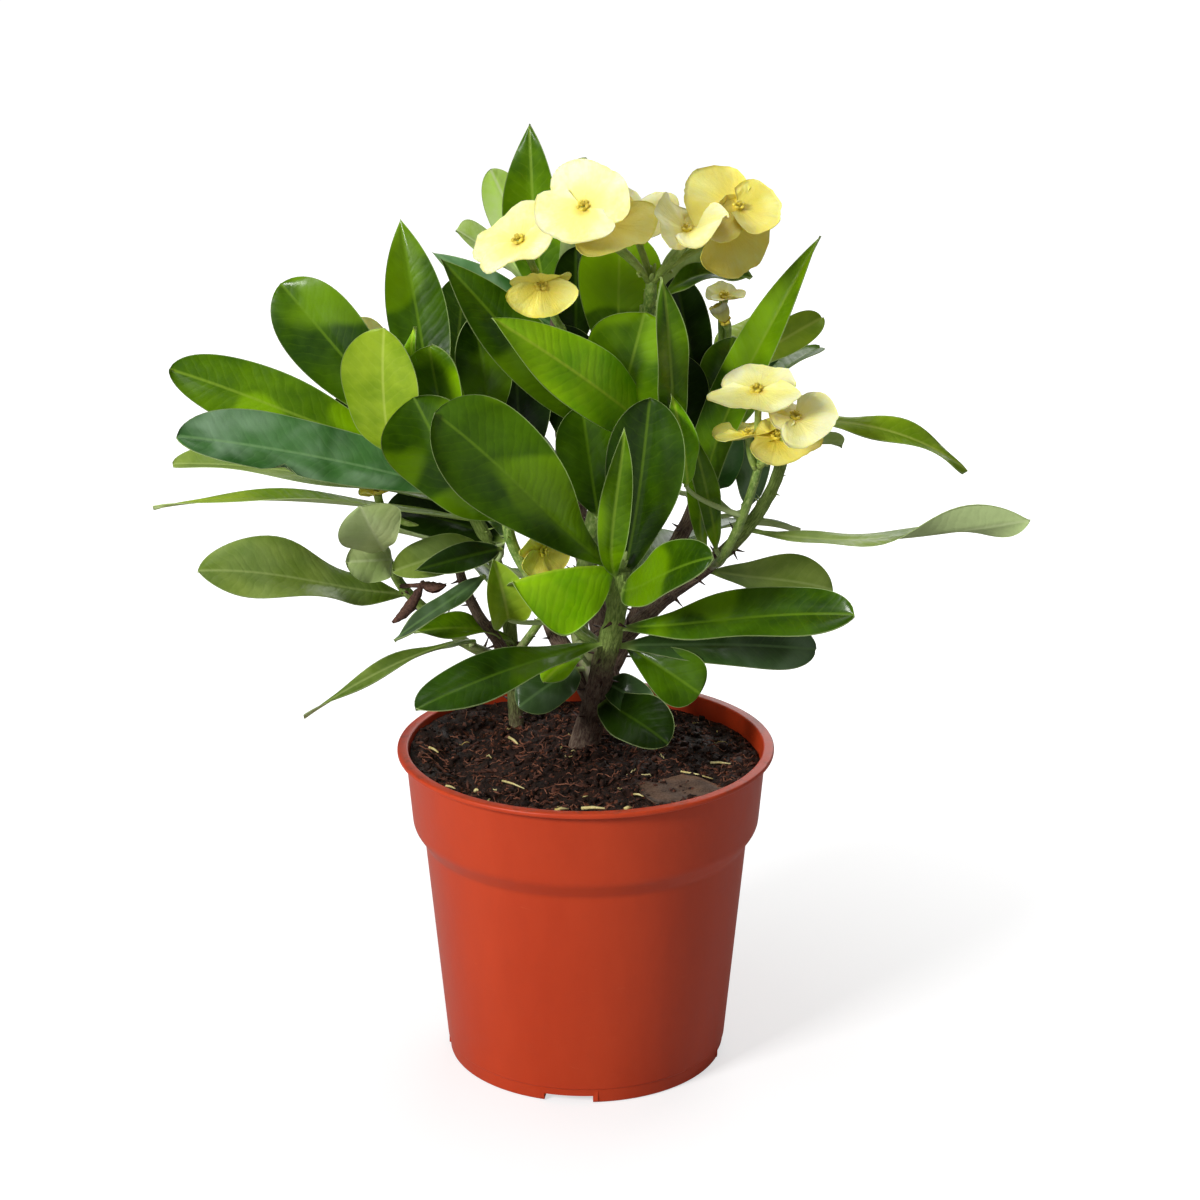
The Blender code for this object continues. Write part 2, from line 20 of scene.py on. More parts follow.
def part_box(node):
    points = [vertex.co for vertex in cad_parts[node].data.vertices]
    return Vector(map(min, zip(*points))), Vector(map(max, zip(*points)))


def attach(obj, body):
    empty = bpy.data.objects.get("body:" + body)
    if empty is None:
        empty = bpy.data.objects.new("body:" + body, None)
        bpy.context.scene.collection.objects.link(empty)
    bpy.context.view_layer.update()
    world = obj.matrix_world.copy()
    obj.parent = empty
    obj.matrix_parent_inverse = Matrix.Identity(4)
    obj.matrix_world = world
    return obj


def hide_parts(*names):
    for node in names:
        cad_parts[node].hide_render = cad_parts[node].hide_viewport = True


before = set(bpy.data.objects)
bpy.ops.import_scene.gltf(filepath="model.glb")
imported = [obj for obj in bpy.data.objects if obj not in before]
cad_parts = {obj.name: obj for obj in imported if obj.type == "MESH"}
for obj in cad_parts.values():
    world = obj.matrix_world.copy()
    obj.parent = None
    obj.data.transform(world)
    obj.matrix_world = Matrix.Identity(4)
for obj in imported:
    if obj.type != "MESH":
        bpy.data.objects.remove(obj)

log = logging.getLogger("euphorbia")

MM = 0.001
POT_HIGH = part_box("pot")[1]
RIM_RADIUS = POT_HIGH.x / MM
POT_HEIGHT = POT_HIGH.z / MM
SOIL_BELOW_RIM = 6.4
SOIL_TOP = POT_HEIGHT - SOIL_BELOW_RIM
GOLDEN_TURN = math.radians(137.5)

Colour = tuple[float, float, float, float]
Point = tuple[float, float, float]


class Slot(Enum):
    """Names of material slots."""

    POT = "pot_plastic"
    SOIL = "potting_soil"
    WOOD = "woody_stem"
    GREEN = "green_stem"
    LEAF = "leaf"
    BRACT = "bract"
    WITHERED = "withered_bract"


class Outline(Enum):
    """Leaf outlines: how fast the blade widens, how blunt it is and how it closes."""

    SPOON = (0.9, 3.5, 0.6)
    LANCE = (0.9, 2.0, 1.1)
    OVAL = (0.6, 3.0, 0.6)
    DROP = (0.55, 1.5, 0.9)
    PADDLE = (1.25, 4.5, 0.6)
    KITE = (1.2, 3.2, 0.9)


class Tone(Enum):
    """Leaf colours, from old leaves and a near-black painted shade for leaves deep in the foliage, to young
    ones.
    """

    # Near-black painted shade for leaves that sit deep in the foliage.
    NIGHT = "night"
    DEEP = "deep"
    DARK = "dark"
    GREEN = "green"
    FRESH = "fresh"
    BRIGHT = "bright"
    BLUE = "blue"
    SLATE = "slate"
    OLIVE = "olive"
    PALE = "pale"


def tint(code: str) -> Colour:
    """Turn a display colour such as "C94F30" into a linear one.

    Args:
        code: Six hexadecimal digits.

    Returns:
        The linear colour with alpha 1.
    """
    parts = [int(code[i:i + 2], 16) / 255 for i in (0, 2, 4)]
    linear = [c / 12.92 if c <= 0.04045 else ((c + 0.055) / 1.055) ** 2.4 for c in parts]
    return (linear[0], linear[1], linear[2], 1.0)


def grown(point: Sequence[float]) -> Vector:
    """Place a plant position, in millimetres over the soil's centre, in metres."""
    return Vector((point[0], point[1], SOIL_TOP + point[2])) * MM


def across(vector: Vector, direction: Vector) -> Vector:
    """The unit part of a vector at right angles to a unit direction."""
    return (vector - vector.dot(direction) * direction).normalized()


def smooth_step(low: float, high: float, value: float) -> float:
    """Rise smoothly from 0 at low to 1 at high."""
    share = min(1.0, max(0.0, (value - low) / (high - low)))
    return share * share * (3 - 2 * share)


def bezier(line: Sequence[Vector], t: float) -> tuple[Vector, Vector]:
    """Read a cubic Bezier curve.

    Args:
        line: Its four control points.
        t: The share of the way along it.

    Returns:
        The point there and the unit direction.
    """
    a, b, c, d = line
    s = 1 - t
    place = a * s ** 3 + b * 3 * s * s * t + c * 3 * s * t * t + d * t ** 3
    slope = (b - a) * s * s + (c - b) * 2 * s * t + (d - c) * t * t
    return place, slope.normalized()


def smooth_route(route: Sequence[Point], per_span: int) -> list[Vector]:
    """Follow a Catmull-Rom curve through plant positions.

    Args:
        route: The positions, in millimetres over the soil's centre.
        per_span: How many points to make for each span.

    Returns:
        The points in metres.
    """
    knots = [grown(point) for point in route]
    knots = [2 * knots[0] - knots[1], *knots, 2 * knots[-1] - knots[-2]]
    points = []
    for a, b, c, d in zip(knots, knots[1:], knots[2:], knots[3:]):
        for step in range(per_span):
            t = step / per_span
            points.append(0.5 * (2 * b + (c - a) * t + (2 * a - 5 * b + 4 * c - d) * t * t
                                 + (3 * b - a - 3 * c + d) * t ** 3))
    return [*points, knots[-2]]


# ---------------------------------------------------------------- node wiring


class Wiring:
    """Adds and links the nodes of one material or node group."""

    def __init__(self, tree: bpy.types.NodeTree) -> None:
        """Start wiring a node tree."""
        self.tree = tree

    def node(self, kind: str, inputs: dict[Any, Any] | None = None, **settings: Any) -> bpy.types.Node:
        """Add a node.

        Args:
            kind: Its type, without the ShaderNode in front.
            inputs: Values or sockets for its inputs, by name or index.
            **settings: Its own properties.

        Returns:
            The node.
        """
        made = self.tree.nodes.new("ShaderNode" + kind)
        for key, value in settings.items():
            setattr(made, key, value)
        for key, value in (inputs or {}).items():
            if isinstance(value, bpy.types.NodeSocket):
                self.tree.links.new(value, made.inputs[key])
            else:
                made.inputs[key].default_value = value
        return made

    def math(self, operation: str, *values: Any) -> bpy.types.NodeSocket:
        """The result of a Math node on sockets or numbers."""
        return self.node("Math", dict(enumerate(values)), operation=operation).outputs[0]

    def times(self, one: Any, other: Any) -> bpy.types.NodeSocket:
        """The product of two sockets or numbers."""
        return self.math("MULTIPLY", one, other)

    def plus(self, one: Any, other: Any) -> bpy.types.NodeSocket:
        """The sum of two sockets or numbers."""
        return self.math("ADD", one, other)

    def wrap(self, around: Any, turns: float, along: Any, pull: float) -> bpy.types.NodeSocket:
        """A position made of two paint values, each scaled by its own amount."""
        spots = {0: self.times(around, turns), 1: self.times(along, pull), 2: 0.0}
        return self.node("CombineXYZ", spots).outputs[0]

    def mix(self, share: Any, low: Any, high: Any) -> bpy.types.NodeSocket:
        """A colour between two colours."""
        return self.node("Mix", {0: share, 6: low, 7: high}, data_type="RGBA").outputs[2]

    def remap(self, value: Any, low: float, high: float, to_low: float = 0.0,
              to_high: float = 1.0) -> bpy.types.NodeSocket:
        """A value moved smoothly from one range to another, and kept inside it."""
        made = self.node("MapRange", {0: value, 1: low, 2: high, 3: to_low, 4: to_high},
                         interpolation_type="SMOOTHSTEP")
        return made.outputs[0]

    def noise(self, where: Any, scale: Any, detail: float = 4.0, rough: float = 0.55,
              warp: float = 0.0) -> bpy.types.NodeSocket:
        """Noise round 0.5 at a scale in features per metre."""
        made = self.node("TexNoise", {"Vector": where, "Scale": scale, "Detail": detail,
                                      "Roughness": rough, "Distortion": warp})
        return made.outputs[0]

    def place(self) -> bpy.types.NodeSocket:
        """The position in the object's own frame."""
        return self.node("TexCoord").outputs["Object"]

    def stretched(self, where: Any, scale: Point) -> bpy.types.NodeSocket:
        """A position scaled by its own amount along each axis."""
        return self.node("VectorMath", {0: where, 1: scale}, operation="MULTIPLY").outputs[0]

    def paint(self, name: str) -> tuple[bpy.types.NodeSocket, ...]:
        """The three values of a paint coordinate that the mesh carries."""
        read = self.node("Attribute", attribute_name=name)
        split = self.node("SeparateXYZ", {0: read.outputs["Vector"]})
        return tuple(split.outputs)


class Groups:
    """The shader node groups that several materials share."""

    def __init__(self) -> None:
        """Build each group once."""
        self.mottle = self._mottle()
        self.grain = self._grain()
        self.blade = self._blade()
        self.dust = self._dust()

    @staticmethod
    def _new(name: str, inputs: dict[str, Any], outputs: dict[str, str]) -> tuple[Wiring, Any, Any]:
        """Start a group.

        Args:
            name: The group's name.
            inputs: Its inputs, each with its starting value.
            outputs: Its outputs, each with its socket type.

        Returns:
            Its wiring, its input node and its output node.
        """
        tree = bpy.data.node_groups.new(name, "ShaderNodeTree")
        for label, value in inputs.items():
            kind = "NodeSocketFloat" if isinstance(value, float) else \
                "NodeSocketColor" if len(value) == 4 else "NodeSocketVector"
            made = tree.interface.new_socket(label, in_out="INPUT", socket_type=kind)
            made.default_value = value
        for label, kind in outputs.items():
            tree.interface.new_socket(label, in_out="OUTPUT", socket_type=kind)
        return Wiring(tree), tree.nodes.new("NodeGroupInput"), tree.nodes.new("NodeGroupOutput")

    def _mottle(self) -> bpy.types.NodeTree:
        """Soft blotches of two colours, with finer flecks in them.

        Returns:
            The group's tree.
        """
        w, start, end = self._new(
            "mottle",
            {"Vector": (0.0, 0.0, 0.0), "Scale": 60.0, "Fleck": 0.35,
             "Dark": (0.1, 0.1, 0.1, 1.0), "Light": (0.5, 0.5, 0.5, 1.0)},
            {"Color": "NodeSocketColor", "Mask": "NodeSocketFloat"})
        where, scale = start.outputs["Vector"], start.outputs["Scale"]
        broad = w.remap(w.noise(where, scale, 3.0), 0.32, 0.68)
        fine = w.remap(w.noise(where, w.times(scale, 9.0), 3.0, 0.6), 0.3, 0.7)
        mask = w.plus(w.times(broad, w.math("SUBTRACT", 1.0, start.outputs["Fleck"])),
                      w.times(fine, start.outputs["Fleck"]))
        w.tree.links.new(w.mix(mask, start.outputs["Dark"], start.outputs["Light"]), end.inputs["Color"])
        w.tree.links.new(mask, end.inputs["Mask"])
        return w.tree

    def _grain(self) -> bpy.types.NodeTree:
        """Fine skin texture, as a height and a mask.

        Returns:
            The group's tree.
        """
        w, start, end = self._new(
            "grain",
            {"Vector": (0.0, 0.0, 0.0), "Scale": 900.0, "Stretch": (1.0, 1.0, 1.0)},
            {"Height": "NodeSocketFloat", "Mask": "NodeSocketFloat"})
        where = w.node("VectorMath", {0: start.outputs["Vector"], 1: start.outputs["Stretch"]},
                       operation="MULTIPLY").outputs[0]
        fine = w.noise(where, start.outputs["Scale"], 3.0, 0.6)
        broad = w.noise(where, w.times(start.outputs["Scale"], 0.22), 2.0)
        height = w.plus(w.times(fine, 0.5), broad)
        w.tree.links.new(height, end.inputs["Height"])
        w.tree.links.new(w.remap(broad, 0.35, 0.65), end.inputs["Mask"])
        return w.tree

    def _blade(self) -> bpy.types.NodeTree:
        """Masks of a blade: midrib, side veins, margin, and relief between veins.

        Returns:
            The group's tree.
        """
        w, start, end = self._new(
            "blade_veins",
            {"Across": 0.0, "Along": 0.0, "Edge": 1.0, "Spacing": 3.0, "Slant": 0.9},
            {"Rib": "NodeSocketFloat", "Veins": "NodeSocketFloat", "Margin": "NodeSocketFloat",
             "Height": "NodeSocketFloat"})
        side = w.math("ABSOLUTE", start.outputs["Across"])
        wander = w.noise(w.place(), 130.0, 2.0)
        run = w.math("SUBTRACT", start.outputs["Along"], w.times(side, start.outputs["Slant"]))
        run = w.plus(run, w.times(wander, 5.0))
        half = w.times(start.outputs["Spacing"], 0.5)
        saw = w.math("DIVIDE", w.math("PINGPONG", run, half), half)
        rib = w.remap(side, 0.7, 0.12)
        edge = start.outputs["Edge"]
        veins = w.times(w.remap(saw, 0.22, 0.0), w.remap(edge, 0.6, 2.6))
        margin = w.remap(edge, 0.32, 0.08)
        height = w.math("SUBTRACT", w.times(w.remap(saw, 0.0, 0.7), 0.5),
                        w.times(w.remap(side, 1.4, 0.0), 0.9))
        for label, value in (("Rib", rib), ("Veins", veins), ("Margin", margin), ("Height", height)):
            w.tree.links.new(value, end.inputs[label])
        return w.tree

    def _dust(self) -> bpy.types.NodeTree:
        """Where dust and splashes of earth settle: upward faces, in patches.

        Returns:
            The group's tree.
        """
        w, start, end = self._new("dust", {"Vector": (0.0, 0.0, 0.0), "Scale": 120.0, "Amount": 0.5},
                                  {"Mask": "NodeSocketFloat"})
        up = w.node("SeparateXYZ", {0: w.node("NewGeometry").outputs["Normal"]}).outputs[2]
        patch = w.remap(w.noise(start.outputs["Vector"], start.outputs["Scale"], 6.0, 0.65), 0.5, 0.72)
        mask = w.times(w.times(patch, w.remap(up, -0.3, 0.8)), start.outputs["Amount"])
        w.tree.links.new(mask, end.inputs["Mask"])
        return w.tree

    @staticmethod
    def use(w: Wiring, group: bpy.types.NodeTree, **inputs: Any) -> bpy.types.Node:
        """Place a group in a material.

        Args:
            w: The material's wiring.
            group: The node group.
            **inputs: Values or sockets for its inputs.

        Returns:
            The group node.
        """
        made = w.tree.nodes.new("ShaderNodeGroup")
        made.node_tree = group
        for label, value in inputs.items():
            if isinstance(value, bpy.types.NodeSocket):
                w.tree.links.new(value, made.inputs[label])
            else:
                made.inputs[label].default_value = value
        return made

    def blotches(self, w: Wiring, where: Any, scale: float, fleck: float, dark: str,
                 light: str) -> bpy.types.Node:
        """Place the mottle between two display colours.

        Args:
            w: The material's wiring.
            where: The position's socket.
            scale: Blotches per metre.
            fleck: How much of it is fine flecks.
            dark: The darker colour.
            light: The lighter colour.

        Returns:
            The group node.
        """
        return self.use(w, self.mottle, Vector=where, Scale=scale, Fleck=fleck, Dark=tint(dark),
                        Light=tint(light))


# ------------------------------------------------------------------- finishes


@dataclass(frozen=True)
class Finish:
    """A finish that makes one Principled material."""

    name: str

    def material(self, groups: Groups) -> bpy.types.Material:
        """Make the material.

        Args:
            groups: The shared node groups.

        Returns:
            The material.
        """
        made = bpy.data.materials.new(self.name)
        made.use_nodes = True
        w = Wiring(made.node_tree)
        self.dress(w, groups, made.node_tree.nodes["Principled BSDF"])
        return made

    def dress(self, w: Wiring, groups: Groups, shader: bpy.types.Node) -> None:
        """Wire the shader's inputs."""
        raise NotImplementedError

    @staticmethod
    def connect(w: Wiring, shader: bpy.types.Node, colour: Any, rough: Any, height: Any = None,
                depth: float = 0.0002, strength: float = 0.5) -> None:
        """Link a colour, a roughness and a bump to the shader.

        Args:
            w: The material's wiring.
            shader: The Principled node.
            colour: The base colour's socket.
            rough: The roughness's socket.
            height: The bump's height socket, if it has one.
            depth: How deep the bump is, in metres.
            strength: How strongly the bump shows.
        """
        w.tree.links.new(colour, shader.inputs["Base Color"])
        w.tree.links.new(rough, shader.inputs["Roughness"])
        if height is not None:
            bump = w.node("Bump", {"Height": height, "Distance": depth, "Strength": strength})
            w.tree.links.new(bump.outputs[0], shader.inputs["Normal"])


@dataclass(frozen=True)
class PotPlastic(Finish):
    """Thin injection-moulded polypropylene, brick red, with flow marks and scuffs."""

    dark: str = "BC3A16"
    light: str = "C8421C"
    worn: str = "D4623E"

    def dress(self, w: Wiring, groups: Groups, shader: bpy.types.Node) -> None:
        """Red plastic, satin, a little paler where it has been rubbed.

        Args:
            w: The material's wiring.
            groups: The shared node groups.
            shader: The Principled node.
        """
        where = w.place()
        blotch = groups.blotches(w, w.stretched(where, (1.0, 1.0, 0.35)), 22.0, 0.25, self.dark, self.light)
        skin = groups.use(w, groups.grain, Vector=where, Scale=2600.0)
        dust = groups.use(w, groups.dust, Vector=where, Scale=260.0, Amount=0.5)
        scuff = w.remap(w.noise(w.stretched(where, (1.0, 1.0, 5.0)), 70.0, 8.0, 0.7, 0.6), 0.62, 0.74)
        colour = w.mix(w.times(scuff, 0.35), blotch.outputs["Color"], tint(self.worn))
        colour = w.mix(dust.outputs["Mask"], colour, tint("6B3A2A"))
        rough = w.plus(w.remap(blotch.outputs["Mask"], 0.0, 1.0, 0.36, 0.46),
                       w.times(scuff, 0.15))
        self.connect(w, shader, colour, rough, skin.outputs["Height"], 0.00008, 0.35)
        shader.inputs["Specular IOR Level"].default_value = 0.3
        shader.inputs["Subsurface Weight"].default_value = 0.06
        shader.inputs["Subsurface Radius"].default_value = (0.004, 0.001, 0.0006)


@dataclass(frozen=True)
class Earth(Finish):
    """Moist peat: near-black crumbs with reddish-brown fibre."""

    dark: str = "080504"
    light: str = "351D12"
    red: str = "7A422A"

    def dress(self, w: Wiring, groups: Groups, shader: bpy.types.Node) -> None:
        """Dark crumbs, redder flecks, and damp spots that shine a little.

        Args:
            w: The material's wiring.
            groups: The shared node groups.
            shader: The Principled node.
        """
        where = w.place()
        base = groups.blotches(w, where, 170.0, 0.6, self.dark, self.light)
        fleck = w.remap(w.noise(where, 520.0, 3.0, 0.6, 0.8), 0.55, 0.68)
        colour = w.mix(w.times(fleck, 0.7), base.outputs["Color"], tint(self.red))
        skin = groups.use(w, groups.grain, Vector=where, Scale=1500.0)
        rough = w.remap(w.noise(where, 90.0, 2.0), 0.35, 0.6, 0.62, 0.98)
        self.connect(w, shader, colour, rough, skin.outputs["Height"], 0.0009, 0.9)
        shader.inputs["Specular IOR Level"].default_value = 0.3


@dataclass(frozen=True)
class Bark(Finish):
    """Grey-brown corky bark with darker furrows along the stem."""

    dark: str = "463026"
    light: str = "8A7260"
    green: str = "66802E"

    def dress(self, w: Wiring, groups: Groups, shader: bpy.types.Node) -> None:
        """Furrows along the stem, grey ridges, and green where it is young.

        Args:
            w: The material's wiring.
            groups: The shared node groups.
            shader: The Principled node.
        """
        where = w.place()
        around, along, young = w.paint("paint")
        wrap = w.wrap(around, 15.0, along, 0.3)
        furrow = w.noise(wrap, 1.1, 6.0, 0.68, 0.7)
        base = groups.blotches(w, where, 240.0, 0.5, self.dark, self.light)
        colour = w.mix(w.remap(furrow, 0.46, 0.72), base.outputs["Color"], tint("8E7E6C"))
        colour = w.mix(w.remap(furrow, 0.5, 0.34), colour, tint(self.dark))
        fresh = w.remap(w.plus(young, w.times(furrow, 0.3)), 0.62, 0.98)
        colour = w.mix(fresh, colour, w.mix(w.remap(furrow, 0.35, 0.65), tint(self.green), tint("A0B85C")))
        skin = groups.use(w, groups.grain, Vector=where, Scale=1300.0, Stretch=(1.0, 1.0, 0.35))
        height = w.plus(furrow, w.times(skin.outputs["Height"], 0.5))
        self.connect(w, shader, colour, w.remap(furrow, 0.3, 0.7, 0.92, 0.68), height, 0.0012, 0.9)


@dataclass(frozen=True)
class GreenSkin(Finish):
    """Fleshy green stems and stalks, paler in streaks."""

    dark: str = "4E7224"
    light: str = "8DA84C"
    old: str = "8A8468"

    def dress(self, w: Wiring, groups: Groups, shader: bpy.types.Node) -> None:
        """Green with pale streaks along the stem, turning grey where it is old.

        Args:
            w: The material's wiring.
            groups: The shared node groups.
            shader: The Principled node.
        """
        where = w.place()
        around, along, young = w.paint("paint")
        wrap = w.wrap(around, 5.0, along, 0.3)
        streak = w.noise(wrap, 1.6, 3.0, 0.6)
        base = groups.blotches(w, where, 150.0, 0.3, self.dark, self.light)
        colour = w.mix(w.remap(streak, 0.45, 0.7), base.outputs["Color"], tint("A9BC6C"))
        colour = w.mix(w.remap(w.math("SUBTRACT", young, w.times(streak, 0.5)), 0.25, -0.05),
                       colour, tint(self.old))
        skin = groups.use(w, groups.grain, Vector=where, Scale=1700.0)
        self.connect(w, shader, colour, w.remap(streak, 0.3, 0.7, 0.38, 0.56),
                     w.plus(skin.outputs["Height"], streak), 0.0003, 0.6)


@dataclass(frozen=True)
class ThornSkin(Finish):
    """Thorns: woody at the base, darker and glossier towards the point."""

    base: str = "6B4A3A"
    tip: str = "2A0F0C"

    def dress(self, w: Wiring, groups: Groups, shader: bpy.types.Node) -> None:
        """A colour that runs from the thorn's base to its point.

        Args:
            w: The material's wiring.
            groups: The shared node groups.
            shader: The Principled node.
        """
        _, along, _ = w.paint("paint")
        base = groups.blotches(w, w.place(), 500.0, 0.3, self.tip, self.base)
        colour = w.mix(w.remap(along, 0.15, 0.75), base.outputs["Color"], tint(self.tip))
        self.connect(w, shader, colour, w.remap(along, 0.0, 1.0, 0.6, 0.34),
                     base.outputs["Mask"], 0.0001, 0.4)


@dataclass(frozen=True)
class LeafSkin(Finish):
    """A fleshy leaf: wax-coated upper side with a painted bluish sheen and painted patches of light, matte
    paler underside, veins and margin.
    """

    dark: str = "24480A"
    light: str = "3F7A00"
    under: str = "8FAE55"
    rib: str = "8DA848"
    # Tint and share of a painted bluish sheen: reflected sky light painted into the upper side's colour.
    bloom: str = "6B9A78"
    sheen_share: float = 0.12
    gloss: float = 0.3
    # Share of painted patches of light: a brighter green where light falls on the upper side.
    patch: float = 0.0

    def dress(self, w: Wiring, groups: Groups, shader: bpy.types.Node) -> None:
        """Blend the two sides, then draw painted patches of light, a painted bluish sheen, the midrib, veins,
        margin and the clear coat.

        Args:
            w: The material's wiring.
            groups: The shared node groups.
            shader: The Principled node.
        """
        where = w.place()
        share, along, face = w.paint("paint")
        across_mm, along_mm, edge_mm = w.paint("paint_mm")
        veins = groups.use(w, groups.blade, Across=across_mm, Along=along_mm, Edge=edge_mm,
                           Spacing=3.4, Slant=0.85)
        top = groups.blotches(w, where, 42.0, 0.16, self.dark, self.light)
        below = groups.blotches(w, where, 60.0, 0.25, self.under, "B5C88A")
        # Painted patches of light: noise spots turn the upper side brighter green, by the patch share.
        sun = w.remap(w.noise(w.stretched(where, (1.0, 0.6, 1.0)), 34.0, 1.0), 0.52, 0.6)
        upper = w.mix(w.times(sun, self.patch), top.outputs["Color"], tint("94C400"))
        # Painted reflection: noise spots tint the upper side towards the bluish sheen colour.
        sheen_mask = w.remap(w.noise(where, 55.0, 2.0, 0.5, 0.5), 0.4, 0.75)
        upper = w.mix(w.times(sheen_mask, self.sheen_share), upper, tint(self.bloom))
        upper = w.mix(w.times(veins.outputs["Veins"], 0.09), upper, tint(self.rib))
        upper = w.mix(w.times(veins.outputs["Rib"], 0.5), upper, tint(self.rib))
        lower = w.mix(w.times(veins.outputs["Rib"], 0.7), below.outputs["Color"], tint("C3D29A"))
        colour = w.mix(w.remap(face, 0.35, 0.65), lower, upper)
        colour = w.mix(w.remap(along, 0.13, 0.02), colour, tint("93AE55"))
        colour = w.mix(w.times(veins.outputs["Margin"], 0.5), colour, tint("B4C884"))
        skin = groups.use(w, groups.grain, Vector=where, Scale=1500.0)
        rough = w.plus(w.remap(face, 0.35, 0.65, 0.62, 0.30),
                       w.times(skin.outputs["Mask"], 0.14))
        height = w.plus(veins.outputs["Height"], w.times(skin.outputs["Height"], 0.35))
        self.connect(w, shader, colour, rough, height, 0.0002, 0.45)
        coat = w.times(face, w.remap(share, 1.2, 0.2))
        w.tree.links.new(w.remap(coat, 0.3, 1.0, 0.0, self.gloss), shader.inputs["Coat Weight"])
        shader.inputs["Coat Roughness"].default_value = 0.16
        shader.inputs["Specular IOR Level"].default_value = 0.13


@dataclass(frozen=True)
class BractSkin(Finish):
    """Pale yellow bracts, deeper towards the middle, with faint fanned veins."""

    pale: str = "FFFDCE"
    deep: str = "FAF08E"
    heart: str = "E6D050"

    def dress(self, w: Wiring, groups: Groups, shader: bpy.types.Node) -> None:
        """Blend from the heart to the rim, with veins that fan out.

        Args:
            w: The material's wiring.
            groups: The shared node groups.
            shader: The Principled node.
        """
        where = w.place()
        around, out, face = w.paint("paint")
        base = groups.blotches(w, where, 75.0, 0.2, self.deep, self.pale)
        colour = w.mix(w.remap(out, 0.32, 0.8), tint(self.deep), base.outputs["Color"])
        colour = w.mix(w.remap(out, 0.3, 0.06), colour, tint(self.heart))
        fan = w.noise(w.wrap(around, 9.0, out, 0.8), 2.4, 3.0)
        colour = w.mix(w.times(w.remap(fan, 0.5, 0.66), 0.25), colour, tint(self.deep))
        colour = w.mix(w.times(w.remap(face, 0.6, 0.3), 0.55), colour, tint("EAD65A"))
        skin = groups.use(w, groups.grain, Vector=where, Scale=2200.0)
        height = w.plus(fan, w.times(skin.outputs["Height"], 0.5))
        self.connect(w, shader, colour, w.remap(fan, 0.3, 0.7, 0.5, 0.66), height, 0.0005, 0.6)
        shader.inputs["Subsurface Weight"].default_value = 0.7
        shader.inputs["Subsurface Radius"].default_value = (0.005, 0.0042, 0.0008)


@dataclass(frozen=True)
class CyathiumSkin(Finish):
    """The small cup in a flower's middle, with its nectar glands."""

    low: str = "CCB43C"
    high: str = "F6E450"

    def dress(self, w: Wiring, groups: Groups, shader: bpy.types.Node) -> None:
        """Wet yellow glands over a duller green-yellow cup.

        Args:
            w: The material's wiring.
            groups: The shared node groups.
            shader: The Principled node.
        """
        where = w.place()
        base = groups.blotches(w, where, 420.0, 0.3, self.low, self.high)
        self.connect(w, shader, base.outputs["Color"], w.remap(base.outputs["Mask"], 0.0, 1.0, 0.5, 0.28),
                     base.outputs["Mask"], 0.0002, 0.5)


@dataclass(frozen=True)
class DeadSkin(Finish):
    """Dried plant matter: withered bracts, dead leaves, straw and root fibre."""

    dark: str = "2E1712"
    light: str = "6B4634"

    def dress(self, w: Wiring, groups: Groups, shader: bpy.types.Node) -> None:
        """Brown blotches over a wrinkled surface.

        Args:
            w: The material's wiring.
            groups: The shared node groups.
            shader: The Principled node.
        """
        where = w.place()
        base = groups.blotches(w, where, 190.0, 0.5, self.dark, self.light)
        wrinkle = groups.use(w, groups.grain, Vector=where, Scale=900.0, Stretch=(1.0, 1.0, 0.4))
        self.connect(w, shader, base.outputs["Color"], w.remap(base.outputs["Mask"], 0.0, 1.0, 0.9, 0.7),
                     wrinkle.outputs["Height"], 0.0006, 0.8)


@dataclass(frozen=True)
class FloorPaint(Finish):
    """The pale surface that the pot stands on."""

    def dress(self, w: Wiring, groups: Groups, shader: bpy.types.Node) -> None:
        """Matte white with the faintest unevenness; to the camera it glows, less near the pot, which paints a
        soft shade round the pot.

        Args:
            w: The material's wiring.
            groups: The shared node groups.
            shader: The Principled node.
        """
        base = groups.blotches(w, w.place(), 3.0, 0.1, "B4B4B4", "BABABA")
        self.connect(w, shader, base.outputs["Color"], w.remap(base.outputs["Mask"], 0.0, 1.0, 0.7, 0.8))
        shader.inputs["Specular IOR Level"].default_value = 0.1
        # Camera-only glow that whitens the floor, weaker near the pot: a painted shade round the pot over the
        # real shadow.
        away = w.node("VectorMath", {0: w.place()}, operation="LENGTH").outputs["Value"]
        seen = w.node("LightPath").outputs["Is Camera Ray"]
        glow_with_painted_shade = w.times(w.remap(away, 0.05, 0.5, 0.62, 0.95), seen)
        shader.inputs["Emission Color"].default_value = (1.0, 1.0, 1.0, 1.0)
        w.tree.links.new(glow_with_painted_shade, shader.inputs["Emission Strength"])


